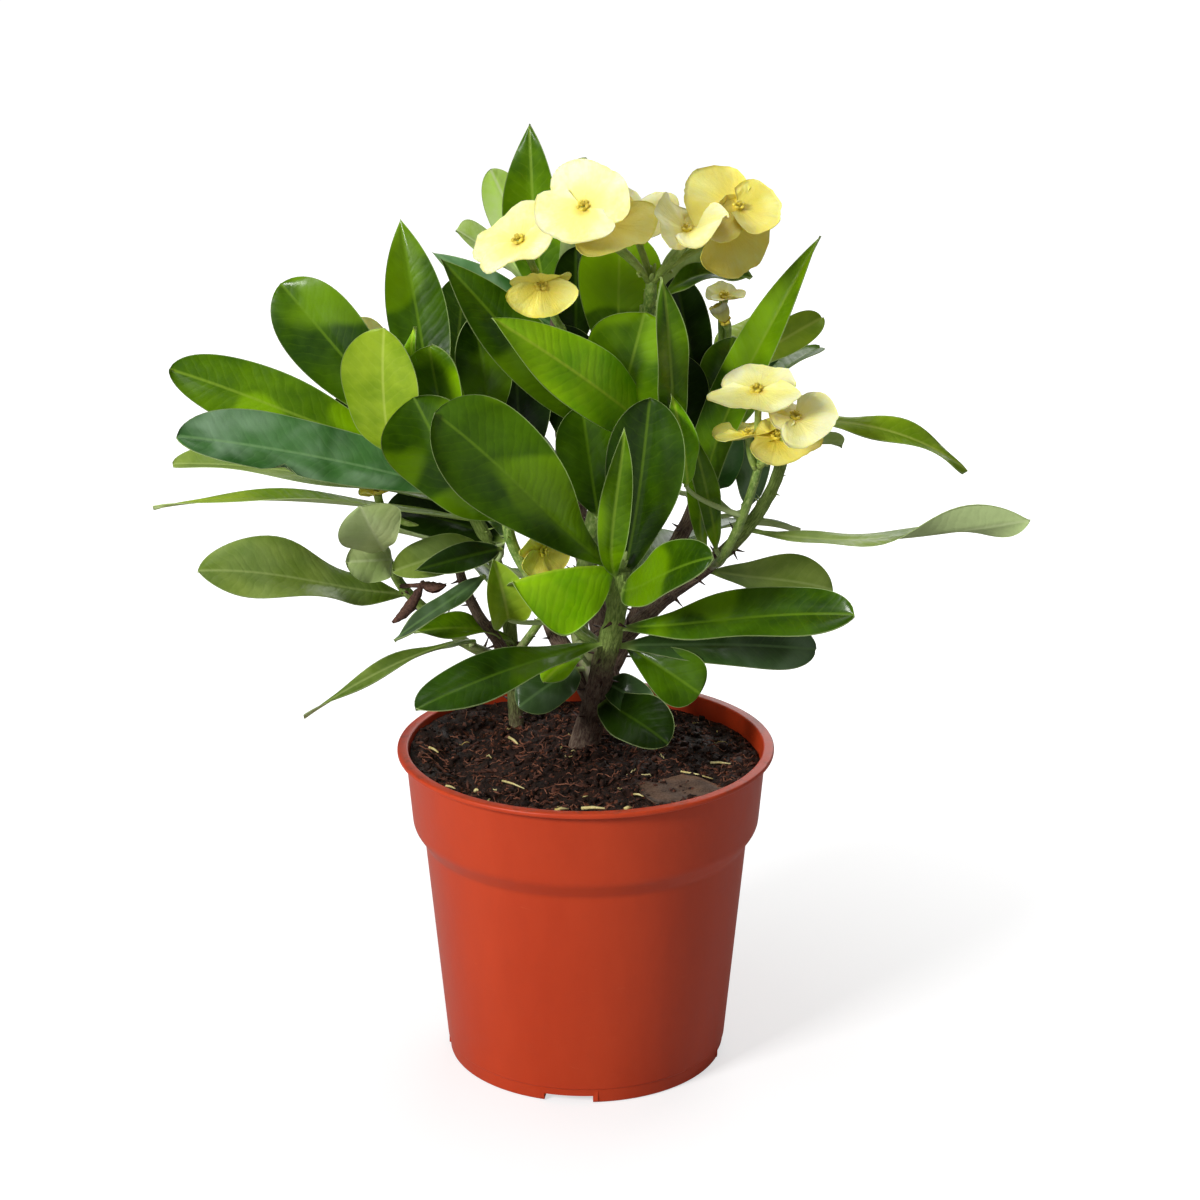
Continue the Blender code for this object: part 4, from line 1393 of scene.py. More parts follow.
@dataclass(frozen=True)
class Stem:
    """A stem's route up the plant, its girth, skin and thorns."""

    name: str
    route: tuple[Point, ...]
    start_radius: float
    end_radius: float
    green: bool = False
    thorn: float = 4.0
    soft_from: float = 60.0
    ripe: tuple[float, float] = (0.0, 0.35)
    cad: bool = True

    bare_foot = 1.5
    bud_girth = 1.65
    pad_height = 0.42

    def line(self, per_span: int = 3) -> tuple[list[Vector], list[float]]:
        """The stem's centre line and radii in metres."""
        points = smooth_route(self.route, per_span)
        last = len(points) - 1
        return points, [(self.start_radius + (self.end_radius - self.start_radius) * i / last) * MM
                        for i in range(last + 1)]

    def at(self, height: float) -> tuple[Vector, Vector, float]:
        """Find where the stem passes a height.

        Args:
            height: Millimetres over the soil.

        Returns:
            The axis point, the direction and the radius there.
        """
        points, radii = self.line()
        level = (SOIL_TOP + height) * MM
        for low, high, r_low, r_high in zip(points, points[1:], radii, radii[1:]):
            if low.z <= level <= high.z:
                share = (level - low.z) / (high.z - low.z)
                return low.lerp(high, share), (high - low).normalized(), r_low + (r_high - r_low) * share
        return points[-1], (points[-1] - points[-2]).normalized(), radii[-1]

    def build(self, skins: dict[str, bpy.types.Material]) -> bpy.types.Object:
        """Build the stem with its leaf scars and thorns.

        Args:
            skins: The stem materials by name.

        Returns:
            The piece.
        """
        sculpt = Sculpt("grown_" + self.name, skins["green" if self.green else "bark"], skins["thorn"],
                        skins["soft_thorn"])
        points, radii = self.line(14)
        seed = sum(map(ord, self.name)) * 0.37
        pitch = 5.2 if self.start_radius > 2 else 9.0
        furrow = 0.055 if self.green else 0.11

        def swell(angle: float, run: float, place: Vector) -> float:
            """Furrows along the skin, and a pad under each pair of thorns.

            Args:
                angle: The angle round the stem.
                run: Millimetres along it.
                place: The point on the plain tube.

            Returns:
                The extra radius in metres.
            """
            wrap = Vector((math.cos(angle) * 2.4, math.sin(angle) * 2.4, run * 0.09 + seed))
            node = round(run / pitch)
            turn = (angle - node * GOLDEN_TURN + math.pi) % math.tau - math.pi
            pad = math.exp(-(turn / 0.75) ** 2 - ((run - node * pitch) / 1.3) ** 2)
            ridge = noise.noise(wrap) + 0.5 * noise.noise(wrap * 2.7)
            return radii[0] * (furrow * ridge) + self.pad_height * MM * pad

        sculpt.tube(points, radii, 22, 0, (0.25, 1.0) if self.green else self.ripe, swell)
        self._thorns(sculpt, points, radii, pitch, seed)
        if self.end_radius >= self.bud_girth:
            self._bud(sculpt, points)
        return sculpt.done([self.name] if self.cad else ())

    def _thorns(self, sculpt: Sculpt, points: list[Vector], radii: list[float], pitch: float,
                seed: float) -> None:
        """Set a pair of thorns on each pad, soft and green near the tip.

        Args:
            sculpt: The stem's mesh.
            points: Its centre line.
            radii: Its radii.
            pitch: Millimetres between pads.
            seed: The number that sets this stem's chances.
        """
        rng = random.Random(int(seed * 100))
        along = (points[1] - points[0]).normalized()
        side = across(Vector((0.3, -1.0, 0.2)), along)
        run, node = 0.0, 1
        for before, here, radius in zip(points, points[1:], radii[1:]):
            ahead = (here - before).normalized()
            side = across(side, ahead)
            up = ahead.cross(side)
            run += (here - before).length / MM
            if run < node * pitch:
                continue
            height = here.z / MM - SOIL_TOP
            soft = (self.green or self.ripe[1] > 0.9) and height > self.soft_from
            for lean in (-0.42, 0.42):
                angle = node * GOLDEN_TURN + lean + rng.uniform(-0.12, 0.12)
                out = side * math.cos(angle) + up * math.sin(angle)
                length = self.thorn * rng.uniform(0.55, 1.15) * (0.65 if soft else 1.0)
                rise = rng.uniform(-0.1, 0.55)
                root = here + out * radius * 0.8
                tip = here + out * (radius + length * MM) + ahead * rise * length * MM \
                    + ahead.cross(out) * lean * 0.5 * length * MM
                girth, finish = (0.62, 2) if soft else (0.85, 1)
                if height > self.bare_foot:
                    sculpt.spike(root, tip, ahead * -0.25 * MM, girth * MM, finish)
            node += 1

    @staticmethod
    def _bud(sculpt: Sculpt, points: list[Vector]) -> None:
        """Tuck a few tiny unopened leaves round the growing tip.

        Args:
            sculpt: The stem's mesh.
            points: Its centre line.
        """
        tip, ahead = points[-1], (points[-1] - points[-2]).normalized()
        for k in range(4):
            out = across(Vector((math.cos(k * 2.4), math.sin(k * 2.4), 0.2)), ahead)
            centre = tip + ahead * (1.2 + 0.5 * k) * MM + out * 0.9 * MM
            axes = [out * 0.45 * MM, ahead.cross(out) * 0.9 * MM, (ahead + out * 0.35) * (2.4 + 0.3 * k) * MM]
            sculpt.lump(centre, axes, 2, rings=5, spokes=8)


STEMS = {stem.name: stem for stem in (
    Stem("main_stem", ((-3, 14, -12), (-1, 12, 0), (3, 8, 16), (6, 0, 35), (9, -8, 50), (11, -14, 69)),
         5.4, 2.7, soft_from=52.0, ripe=(-0.35, 1.2)),
    Stem("top_branch", ((4, 5, 24), (-2, 13, 40), (0, 15, 62), (5, 12, 87), (10, 9, 108), (15, 7, 128),
                        (18, 6, 140), (19, 6, 147)), 3.1, 2.3, True),
    Stem("right_branch", ((7, -1, 37), (18, 9, 45), (28, 20, 51), (38, 21, 58), (46, 17, 67),
                          (54, 11, 79), (59, 8, 90), (62, 6, 101)), 2.9, 1.7, thorn=4.6, soft_from=74.0,
         ripe=(-0.2, 1.3)),
    Stem("left_stem", ((-22, 33, -12), (-23, 31, 0), (-24, 29, 24), (-26, 26, 46), (-31, 23, 65),
                       (-39, 19, 83), (-46, 14, 99), (-51, 11, 116)), 2.5, 1.9, soft_from=50.0,
         ripe=(0.3, 2.0)),
    Stem("low_left_branch", ((-25, 27, 24), (-38, 27, 30), (-47, 24, 39), (-53, 20, 46), (-59, 17, 54),
                             (-63, 13, 64), (-66, 9, 73)), 1.9, 1.5, True),
    Stem("thorny_twig", ((-24, 27, 16), (-27, 21, 31), (-34, 17, 43), (-39, 17, 54), (-42, 18, 68)),
         2.0, 1.4, thorn=4.4, cad=False),
    Stem("green_twig", ((-22, 14, 32), (-16, 6, 43), (-12, 1, 51), (-9, -2, 60)), 1.4, 1.1, True,
         thorn=1.5, cad=False),
    Stem("old_wood", ((3, 9, 16), (-3, 11, 28), (-10, 14, 39), (-13, 16, 52), (-14, 18, 68)), 3.4, 2.4,
         thorn=4.5, cad=False),
    Stem("leaf_stalk_low", ((7, -3, 40), (1, -8, 44), (-4, -12, 50), (-7, -16, 58)), 1.2, 1.0, True,
         thorn=0.3, cad=False),
    Stem("back_stem", ((14, 34, -12), (11, 36, 0), (6, 43, 22), (0, 44, 54), (-5, 40, 85),
                       (-8, 36, 110), (-9, 32, 130), (-8, 30, 146)), 4.0, 2.3),
    Stem("rear_right_stem", ((8, 42, 16), (21, 50, 41), (34, 50, 66), (41, 44, 92), (43, 38, 113),
                             (44, 35, 130)), 2.9, 2.0),
    Stem("front_left_shoot", ((7, -2, 37), (-3, -1, 46), (-14, -4, 59), (-22, -6, 73), (-25, -8, 87)),
         2.1, 1.7, True, soft_from=30),
    Stem("top_flower_stem", ((18, 6, 138), (19, 4, 146), (20, -1, 152), (20, -4, 157)), 1.9, 1.7, True,
         thorn=1.2),
    Stem("left_flower_stem", ((4, 11, 118), (-2, 8, 130), (-8, 2, 142), (-12, -5, 152)), 1.4, 1.2, True,
         thorn=0.8, cad=False),
    Stem("side_flower_stem", ((40, 19, 60), (43, 7, 66), (49, 0, 82), (53, -3, 97), (55, -4, 107)),
         1.5, 1.3, True, thorn=1.2),
)}


# -------------------------------------------------------------------- leaves


@dataclass(frozen=True)
class Leaf:
    """A leaf: where it grows, where its tip reaches, its outline, colour and curl."""

    name: str
    stem: str
    height: float
    reach: Point
    width: float
    faces: Point
    tone: Tone = Tone.GREEN
    arch: float = 3.0
    outline: Outline = Outline.SPOON
    twist: float = 0.0
    fold: float = 0.18
    wave: float = 0.8
    curl: float = 0.0
    start: Point | None = None
    notch: float = 0.0
    cad: bool = True

    thick = 0.55
    petiole = 1.7
    spread = 0.1
    rows = 30
    columns = 6

    def midrib(self) -> tuple[list[Vector], Vector]:
        """The control points of the midrib in metres, and the way the blade faces.

        Returns:
            The control points, and the unit direction.
        """
        if self.start is None:
            axis, along, radius = STEMS[self.stem].at(self.height)
            tip = axis + Vector(self.reach) * MM
            out = across(tip - axis, along)
            base = axis + out * (radius + (0.3 + self.petiole * 0.5) * MM)
            inner = axis + out * radius * 0.55
        else:
            base = grown(self.start)
            tip = base + Vector(self.reach) * MM
            out = Vector((0, 0, 0))
            inner = base
        chord = tip - base
        facing = across(Vector(self.faces), chord.normalized())
        bow = facing * self.arch * MM / 0.75
        return [inner, base + out * self.spread * chord.length + chord * 0.2 + bow,
                tip - chord * 0.33 + bow, tip], facing

    def half_width(self, t: float) -> float:
        """Half the blade's width in metres at a share of its length."""
        rise, blunt, fall = self.outline.value
        widest = (rise / (rise + blunt * fall)) ** (1 / blunt)
        peak = widest ** rise * (1 - widest ** blunt) ** fall
        swell = t ** rise * (1 - t ** blunt) ** fall / peak
        return max(self.petiole * (1 - smooth_step(0.0, 0.3, t)), self.width * swell, 0.25) * MM / 2

    def build(self, skins: dict[Tone, bpy.types.Material]) -> bpy.types.Object:
        """Build the blade as a thin closed solid with a thick petiole.

        Args:
            skins: The leaf materials by tone.

        Returns:
            The piece.
        """
        sculpt = Sculpt(self.name if not self.cad else self.name.replace("leaf_", "blade_"),
                        skins[self.tone])
        line, facing = self.midrib()
        length = sum((bezier(line, (i + 1) / 12)[0] - bezier(line, i / 12)[0]).length for i in range(12)) / MM
        phase = sum(map(ord, self.name)) % 17 * 0.7
        rng = random.Random(self.name)
        fold = self.fold + rng.uniform(-0.05, 0.2)
        wave = self.wave * rng.uniform(0.8, 1.9)
        sway = rng.uniform(-9, 9)
        tops, unders = [], []
        for i in range(self.rows + 1):
            t = 1 - (1 - i / self.rows) ** 1.5
            spot, along = bezier(line, t)
            up = across(facing, along)
            up.rotate(Matrix.Rotation(math.radians(self.twist + sway) * t, 3, along))
            side = along.cross(up)
            half = self.half_width(t)
            body = smooth_step(0.05, 0.35, t)
            top, under = [], []
            for j in range(-self.columns, self.columns + 1):
                share = math.sin(j / self.columns * math.pi / 2)
                reach = half * (1 - self._bite(t, share))
                ripple = math.sin(math.tau * (1.7 * t + 0.23 * (j < 0)) + phase)
                rise = (fold * abs(share) * half + self.curl * share * share * half
                        + wave * MM * ripple * share * share * body)
                thick = (1.5 * (1 - body) * max(0.15, 1 - share * share)
                         + self.thick * body * (1 - 0.45 * share * share)) * MM
                groove = 0.22 * MM * body * math.exp(-(share * half / (0.7 * MM)) ** 2)
                middle = spot + side * reach * share + up * rise
                mm = (share * half / MM, t * length, (1 - abs(share)) * half / MM)
                top.append(sculpt.corner(middle + up * (thick / 2 - groove), (abs(share), t, 1), mm))
                under.append(sculpt.corner(middle - up * (thick / 2 + groove * 1.6), (abs(share), t, 0), mm))
            tops.append(top)
            unders.append(under)
        close_blade(sculpt, tops, unders, 0)
        if self.start is not None:
            self._stalk(sculpt, line)
        return sculpt.done([self.name] if self.cad else ())

    def _stalk(self, sculpt: Sculpt, line: Sequence[Vector]) -> None:
        """Join a blade that starts clear of the stems to the stem that it grows from.

        Args:
            sculpt: The leaf's mesh.
            line: The control points of the midrib.
        """
        base, ahead = bezier(line, 0.0)
        spots = [spot for stem in STEMS.values() for spot in stem.line()[0]]
        root = min(spots, key=lambda spot: (spot - base).length + 1.2 * abs(
            base.z - spot.z - 0.5 * (spot - base).length))
        span = (base - root).length
        if span < 1.5 * MM:
            return
        curve = [root, root + (base - root) * 0.4 + Vector((0, 0, -0.08 * span)), base - ahead * 0.3 * span,
                 base + ahead * 1.5 * MM]
        points = [bezier(curve, k / 10)[0] for k in range(11)]
        sculpt.tube(points, [(0.95 - 0.03 * k) * MM for k in range(11)], 8, 0, (0.0, 0.0))

    def _bite(self, t: float, share: float) -> float:
        """A small notch that the upper margin lost near the tip."""
        return self.notch * math.exp(-((t - 0.72) / 0.025) ** 2) * max(0.0, -share) ** 6


T, O = Tone, Outline
FRONT, ABOVE, SHOULDER = (0, -1, 0), (0, -0.6, 1), (-0.1, -1, 0.4)

LEAVES = (
    Leaf("leaf_left_upper", "left_stem", 104, (-47, 8, 47), 25, (0.05, -1, 0.12), T.DARK, 3, wave=0.8),
    Leaf("leaf_left_long", "left_stem", 96, (-84, -4, 30), 21, (0, -1, 0.7), T.GREEN, 4, wave=1.8),
    Leaf("leaf_left_glossy", "left_stem", 70, (-92, -36, 32), 22, (0, -0.8, 1), T.BLUE, 5, notch=0.35,
         start=(-31, 16, 81)),
    Leaf("leaf_left_pale", "left_stem", 80, (-95, 14, 9), 17, (0, -0.2, 1), T.OLIVE, 5),
    Leaf("leaf_left_edge", "left_stem", 75, (-102, -2, 4), 14, (0, 0.1, 1), T.FRESH, 6, O.LANCE),
    Leaf("leaf_left_wavy", "low_left_branch", 51, (-62, -34, 18), 22, (0, -0.8, 1), T.OLIVE, 6, wave=2.0),
    Leaf("leaf_upright", "left_stem", 108, (-9, 20, 61), 19, (0.1, -1, 0.1), T.DARK, 2, O.LANCE),
    Leaf("leaf_young_left", "left_stem", 92, (-1, -12, 42), 26, (-0.5, -1, 0.2), T.FRESH, 3, O.OVAL,
         start=(-59, -3, 103)),
    Leaf("leaf_behind_left", "left_stem", 100, (8, 30, 48), 18, (0, -1, 0.1), T.GREEN),
    Leaf("leaf_long_dark", "top_branch", 106, (-53, -18, 59), 19, (0.2, -1, 0.4), T.DARK, 3, O.LANCE),
    Leaf("leaf_top", "back_stem", 140, (-9, 6, 58), 18, (-0.2, -1, 0.1), T.GREEN, 3, O.LANCE, fold=0.3),
    Leaf("leaf_bright", "top_branch", 111, (-43, -34, 40), 21, (-0.5, -1, 0.8), T.BRIGHT, 4, O.DROP,
         start=(16, -2, 113), wave=1.2),
    Leaf("leaf_round_top", "top_branch", 104, (9, -16, 44), 29, (-0.1, -1, 0.1), T.GREEN, 2, O.PADDLE),
    Leaf("leaf_narrow_centre", "top_branch", 98, (-4, -24, 55), 11, (0.3, -1, 0.1), T.GREEN, 2, O.LANCE,
         start=(27, -4, 108)),
    Leaf("leaf_broad_behind", "top_branch", 122, (-3, 16, 45), 26, FRONT, T.GREEN, 2),
    Leaf("leaf_big_front", "main_stem", 69, (-55, -28, 57), 31, (-0.15, -1, 0.75), T.DARK, 9, O.PADDLE,
         fold=0.2, curl=0.12, wave=1.2),
    Leaf("leaf_dark_front", "front_left_shoot", 83, (-27, -12, 42), 29, (-0.3, -1, 0.4), T.DARK, 5, O.PADDLE,
         fold=0.2, curl=0.15),
    Leaf("leaf_small_ellipse", "main_stem", 67, (1, -20, 52), 10, (0.1, -1, 0.3), T.GREEN, 2, O.LANCE),
    Leaf("leaf_large_centre", "main_stem", 64, (9, -4, 60), 24, (0.2, -1, 0), T.DARK, 3, fold=0.3),
    Leaf("leaf_right_dark", "rear_right_stem", 98, (4, -21, 36), 18, (0.1, -1, 0.4), T.DARK),
    Leaf("leaf_right_tall", "right_branch", 60, (31, -20, 110), 16, (-0.7, -1, 0.3), T.GREEN, 9, O.LANCE),
    Leaf("leaf_rear_blue", "rear_right_stem", 109, (20, 12, 28), 15, (0.2, -1, 0.2), T.BLUE),
    Leaf("leaf_right_high", "right_branch", 96, (53, -1, -14), 9, (-0.1, -0.7, 1), T.FRESH, 9, O.OVAL,
         start=(66, 6, 109), wave=1.4),
    Leaf("leaf_right_far", "right_branch", 74, (86, -24, 10), 18, (0, -1, 0.62), T.OLIVE, -7, O.KITE,
         twist=-125, wave=1.2),
    Leaf("leaf_right_olive", "right_branch", 58, (42, 8, -10), 17, (0, -0.8, 0.8), T.OLIVE, 4),
    Leaf("leaf_round_right", "main_stem", 62, (27, -44, 24), 18, (0.1, -1, 0.7), T.DARK, 4, O.OVAL),
    Leaf("leaf_low_glossy", "main_stem", 48, (72, -36, 16), 19, (0, -0.8, 0.8), T.DARK, 5),
    Leaf("leaf_low_dark", "main_stem", 40, (66, 8, -4), 18, (0, -0.9, 0.7), T.SLATE, 4),
    Leaf("leaf_low_bright", "main_stem", 60, (-31, -22, 3), 28, (-0.1, -0.6, 1), T.BRIGHT, 3, O.OVAL,
         fold=-0.95, start=(9, -14, 69)),
    Leaf("leaf_low_left", "main_stem", 42, (-58, -48, -5), 17, (0, -0.7, 1), T.DEEP, 4),
    Leaf("leaf_low_round", "main_stem", 20, (22, -27, -6), 19, (0.1, -1, 0.7), T.NIGHT, 3, O.OVAL),
    Leaf("leaf_back_left", "left_stem", 88, (-44, 62, 22), 20, (-0.2, 0.4, 1), T.GREEN, 6),
    Leaf("leaf_back_low", "left_stem", 44, (-30, 55, 12), 18, (0, 0.4, 1), T.DARK, 5),
    Leaf("leaf_back_centre", "back_stem", 98, (-14, 62, 34), 21, (0, 0.6, 1), T.GREEN, 6),
    Leaf("leaf_back_right", "rear_right_stem", 84, (40, 52, 28), 19, (0.2, 0.6, 1), T.GREEN, 6),
    Leaf("leaf_back_base", "back_stem", 34, (34, 58, 10), 18, (0.2, 0.4, 1), T.DARK, 5),
)


def extra(name: str, start: Point, reach: Point, width: float, faces: Point, tone: Tone,
          **more: Any) -> Leaf:
    """A leaf that only the looks have.

    Args:
        name: The leaf's name.
        start: Where it grows, in millimetres over the soil's centre.
        reach: Its tip, counted from there.
        width: Its greatest width.
        faces: The way its upper side faces.
        tone: Its colour.
        **more: Other fields of a leaf.

    Returns:
        The leaf.
    """
    return Leaf(name, "", 0, reach, width, faces, tone, start=start, cad=False, **more)


INNER_LEAVES = (
    extra("leaf_bluish_edge", (-8, 34, 133), (-40, -4, 26), 10, SHOULDER, T.BLUE, outline=O.LANCE),
    extra("leaf_dark_right", (35, 30, 118), (-7, -12, 36), 16, FRONT, T.NIGHT, outline=O.OVAL),
    extra("leaf_darkest", (-3, 32, 126), (0, -8, 36), 14, FRONT, T.NIGHT),
    extra("leaf_left_fold", (-40, 8, 100), (-7, -16, 38), 19, (-0.3, -1, 0.3), T.GREEN),
    extra("leaf_left_fold_rear", (-30, 14, 104), (-4, -14, 42), 18, (0.3, -1, 0.2), T.DARK),
    extra("leaf_shade_left", (-20, 24, 88), (-2, -6, 44), 22, FRONT, T.NIGHT),
    extra("leaf_shade_centre", (0, 24, 92), (-8, -4, 46), 22, FRONT, T.NIGHT),
    extra("leaf_shade_right", (26, 28, 86), (4, -6, 42), 20, FRONT, T.NIGHT),
    extra("leaf_shade_middle", (4, 6, 80), (-5, -8, 38), 20, FRONT, T.DARK),
    extra("leaf_shade_far", (-50, 18, 84), (-28, 2, 31), 13, SHOULDER, T.NIGHT),
    extra("leaf_thin_right", (41, 10, 68), (-9, -12, 43), 8, (0.4, -1, 0), T.GREEN, outline=O.LANCE),
    extra("leaf_rear_tip", (43, 38, 116), (33, 14, 17), 11, SHOULDER, T.FRESH),
    extra("leaf_arched", (24, 4, 150), (27, 10, 4), 9, ABOVE, T.DARK, arch=6.0, outline=O.LANCE),
    extra("leaf_low_behind", (12, 4, 38), (24, -12, -12), 18, (0, -1, 0.6), T.DARK, outline=O.PADDLE),
    extra("leaf_oval_low", (-3, 4, 30), (-18, -16, -7), 16, (0, -1, 0.6), T.SLATE, outline=O.OVAL),
    extra("leaf_blade_low", (-36, 22, 33), (-51, -46, -9), 6, (0, -0.4, 1), T.OLIVE, outline=O.LANCE,
          arch=5.0),
    extra("leaf_tip_low", (-24, 26, 31), (-30, -24, 12), 10, ABOVE, T.GREEN, arch=4.0),
    extra("leaf_twisted", (-32, 10, 59), (-28, -18, -15), 7, (0, -1, 0.3), T.SLATE, twist=60.0,
          outline=O.LANCE),
    extra("leaf_pale_left", (-63, 4, 70), (-6, -14, 18), 21, (0, -1, 0.2), T.PALE, outline=O.PADDLE),
    extra("leaf_night_left", (-26, 24, 66), (-38, 6, 10), 17, (0, -0.8, 0.8), T.NIGHT),
    extra("leaf_night_low", (-27, 10, 68), (-26, -16, -2), 9, (0, -1, 0.4), T.NIGHT, outline=O.LANCE),
    extra("leaf_pale_young", (-34, 18, 66), (-26, -22, -1), 13, (0, -1, 0.6), T.OLIVE, outline=O.OVAL),
    extra("leaf_pale_round", (-62, 12, 64), (-13, -12, 3), 14, (0, -1, 0.3), T.PALE, outline=O.OVAL),
    extra("leaf_curled", (-24, -20, 55), (-4, -6, 21), 14, (0.2, -1, 0.4), T.FRESH, outline=O.DROP, curl=0.5),
    extra("leaf_dark_branch", (40, 22, 84), (8, -10, 25), 11, FRONT, T.BLUE, outline=O.LANCE),
    extra("leaf_grey_right", (53, 44, 72), (1, -4, 25), 12, FRONT, T.SLATE),
    extra("leaf_fold_tip", (-50, 4, 118), (-2, -8, 25), 7, (-0.6, -1, 0), T.BRIGHT, outline=O.LANCE),
    extra("leaf_young_right", (31, -4, 93), (-5, -12, 32), 9, (0.4, -1, 0), T.BRIGHT, outline=O.LANCE),
    extra("leaf_grey_centre", (6, 10, 88), (-13, -10, 21), 13, (0, -1, 0.2), T.OLIVE),
    extra("leaf_small_low", (-1, 2, 35), (-12, -16, -3), 9, (0, -0.7, 1), T.BRIGHT),
    extra("leaf_grey_base", (6, 7, 24), (15, -9, -6), 12, (0, -1, 0.7), T.SLATE, outline=O.OVAL),
)

REAR_LEAVES = tuple(extra(f"rear_leaf_{number}", *row, arch=arch) for number, (*row, arch) in enumerate((
    ((-8, 32, 128), (-34, 40, 30), 18, (0, 0.8, 0.7), T.GREEN, 5.0),
    ((-8, 36, 112), (20, 50, 34), 19, (0.1, 0.8, 0.7), T.DARK, 5.0),
    ((-5, 41, 80), (-46, 44, 14), 20, (-0.1, 0.6, 0.9), T.GREEN, 6.0),
    ((0, 44, 56), (30, 52, 4), 19, (0.1, 0.5, 1), T.DARK, 6.0),
    ((4, 43, 34), (-40, 46, 0), 18, (0, 0.5, 1), T.DARK, 5.0),
    ((36, 48, 74), (50, 30, 10), 18, (0.3, 0.4, 1), T.GREEN, 6.0),
    ((43, 38, 112), (16, 46, 16), 17, (0.1, 0.9, 0.6), T.FRESH, 4.0),
    ((42, 42, 100), (-22, 46, 22), 18, (-0.1, 0.8, 0.8), T.GREEN, 5.0),
    ((-44, 16, 96), (-30, 50, 30), 18, (-0.2, 0.7, 0.7), T.GREEN, 5.0),
    ((-26, 26, 52), (-52, 34, 8), 18, (-0.1, 0.5, 1), T.DARK, 5.0),
    ((16, 8, 130), (26, 44, 26), 19, (0.1, 0.9, 0.5), T.GREEN, 4.0),
    ((-8, 31, 142), (8, 36, 40), 16, (0, 1, 0.4), T.FRESH, 3.0),
    ((-8, 31, 138), (-22, 16, 44), 15, (-0.2, 0.8, 0.2), T.BRIGHT, 3.0),
    ((28, 50, 54), (44, 38, -4), 17, (0.3, 0.5, 1), T.DARK, 6.0),
    ((-28, 24, 58), (-18, 56, 20), 18, (0, 0.7, 0.8), T.GREEN, 5.0),
    ((5, 43, 26), (8, 54, -6), 17, (0, 0.5, 1), T.SLATE, 5.0),
), 1))


# ------------------------------------------------------------------- flowers


class Bearing(Enum):
    """How far a flower has opened."""

    OPEN = "open"
    BUD = "bud"


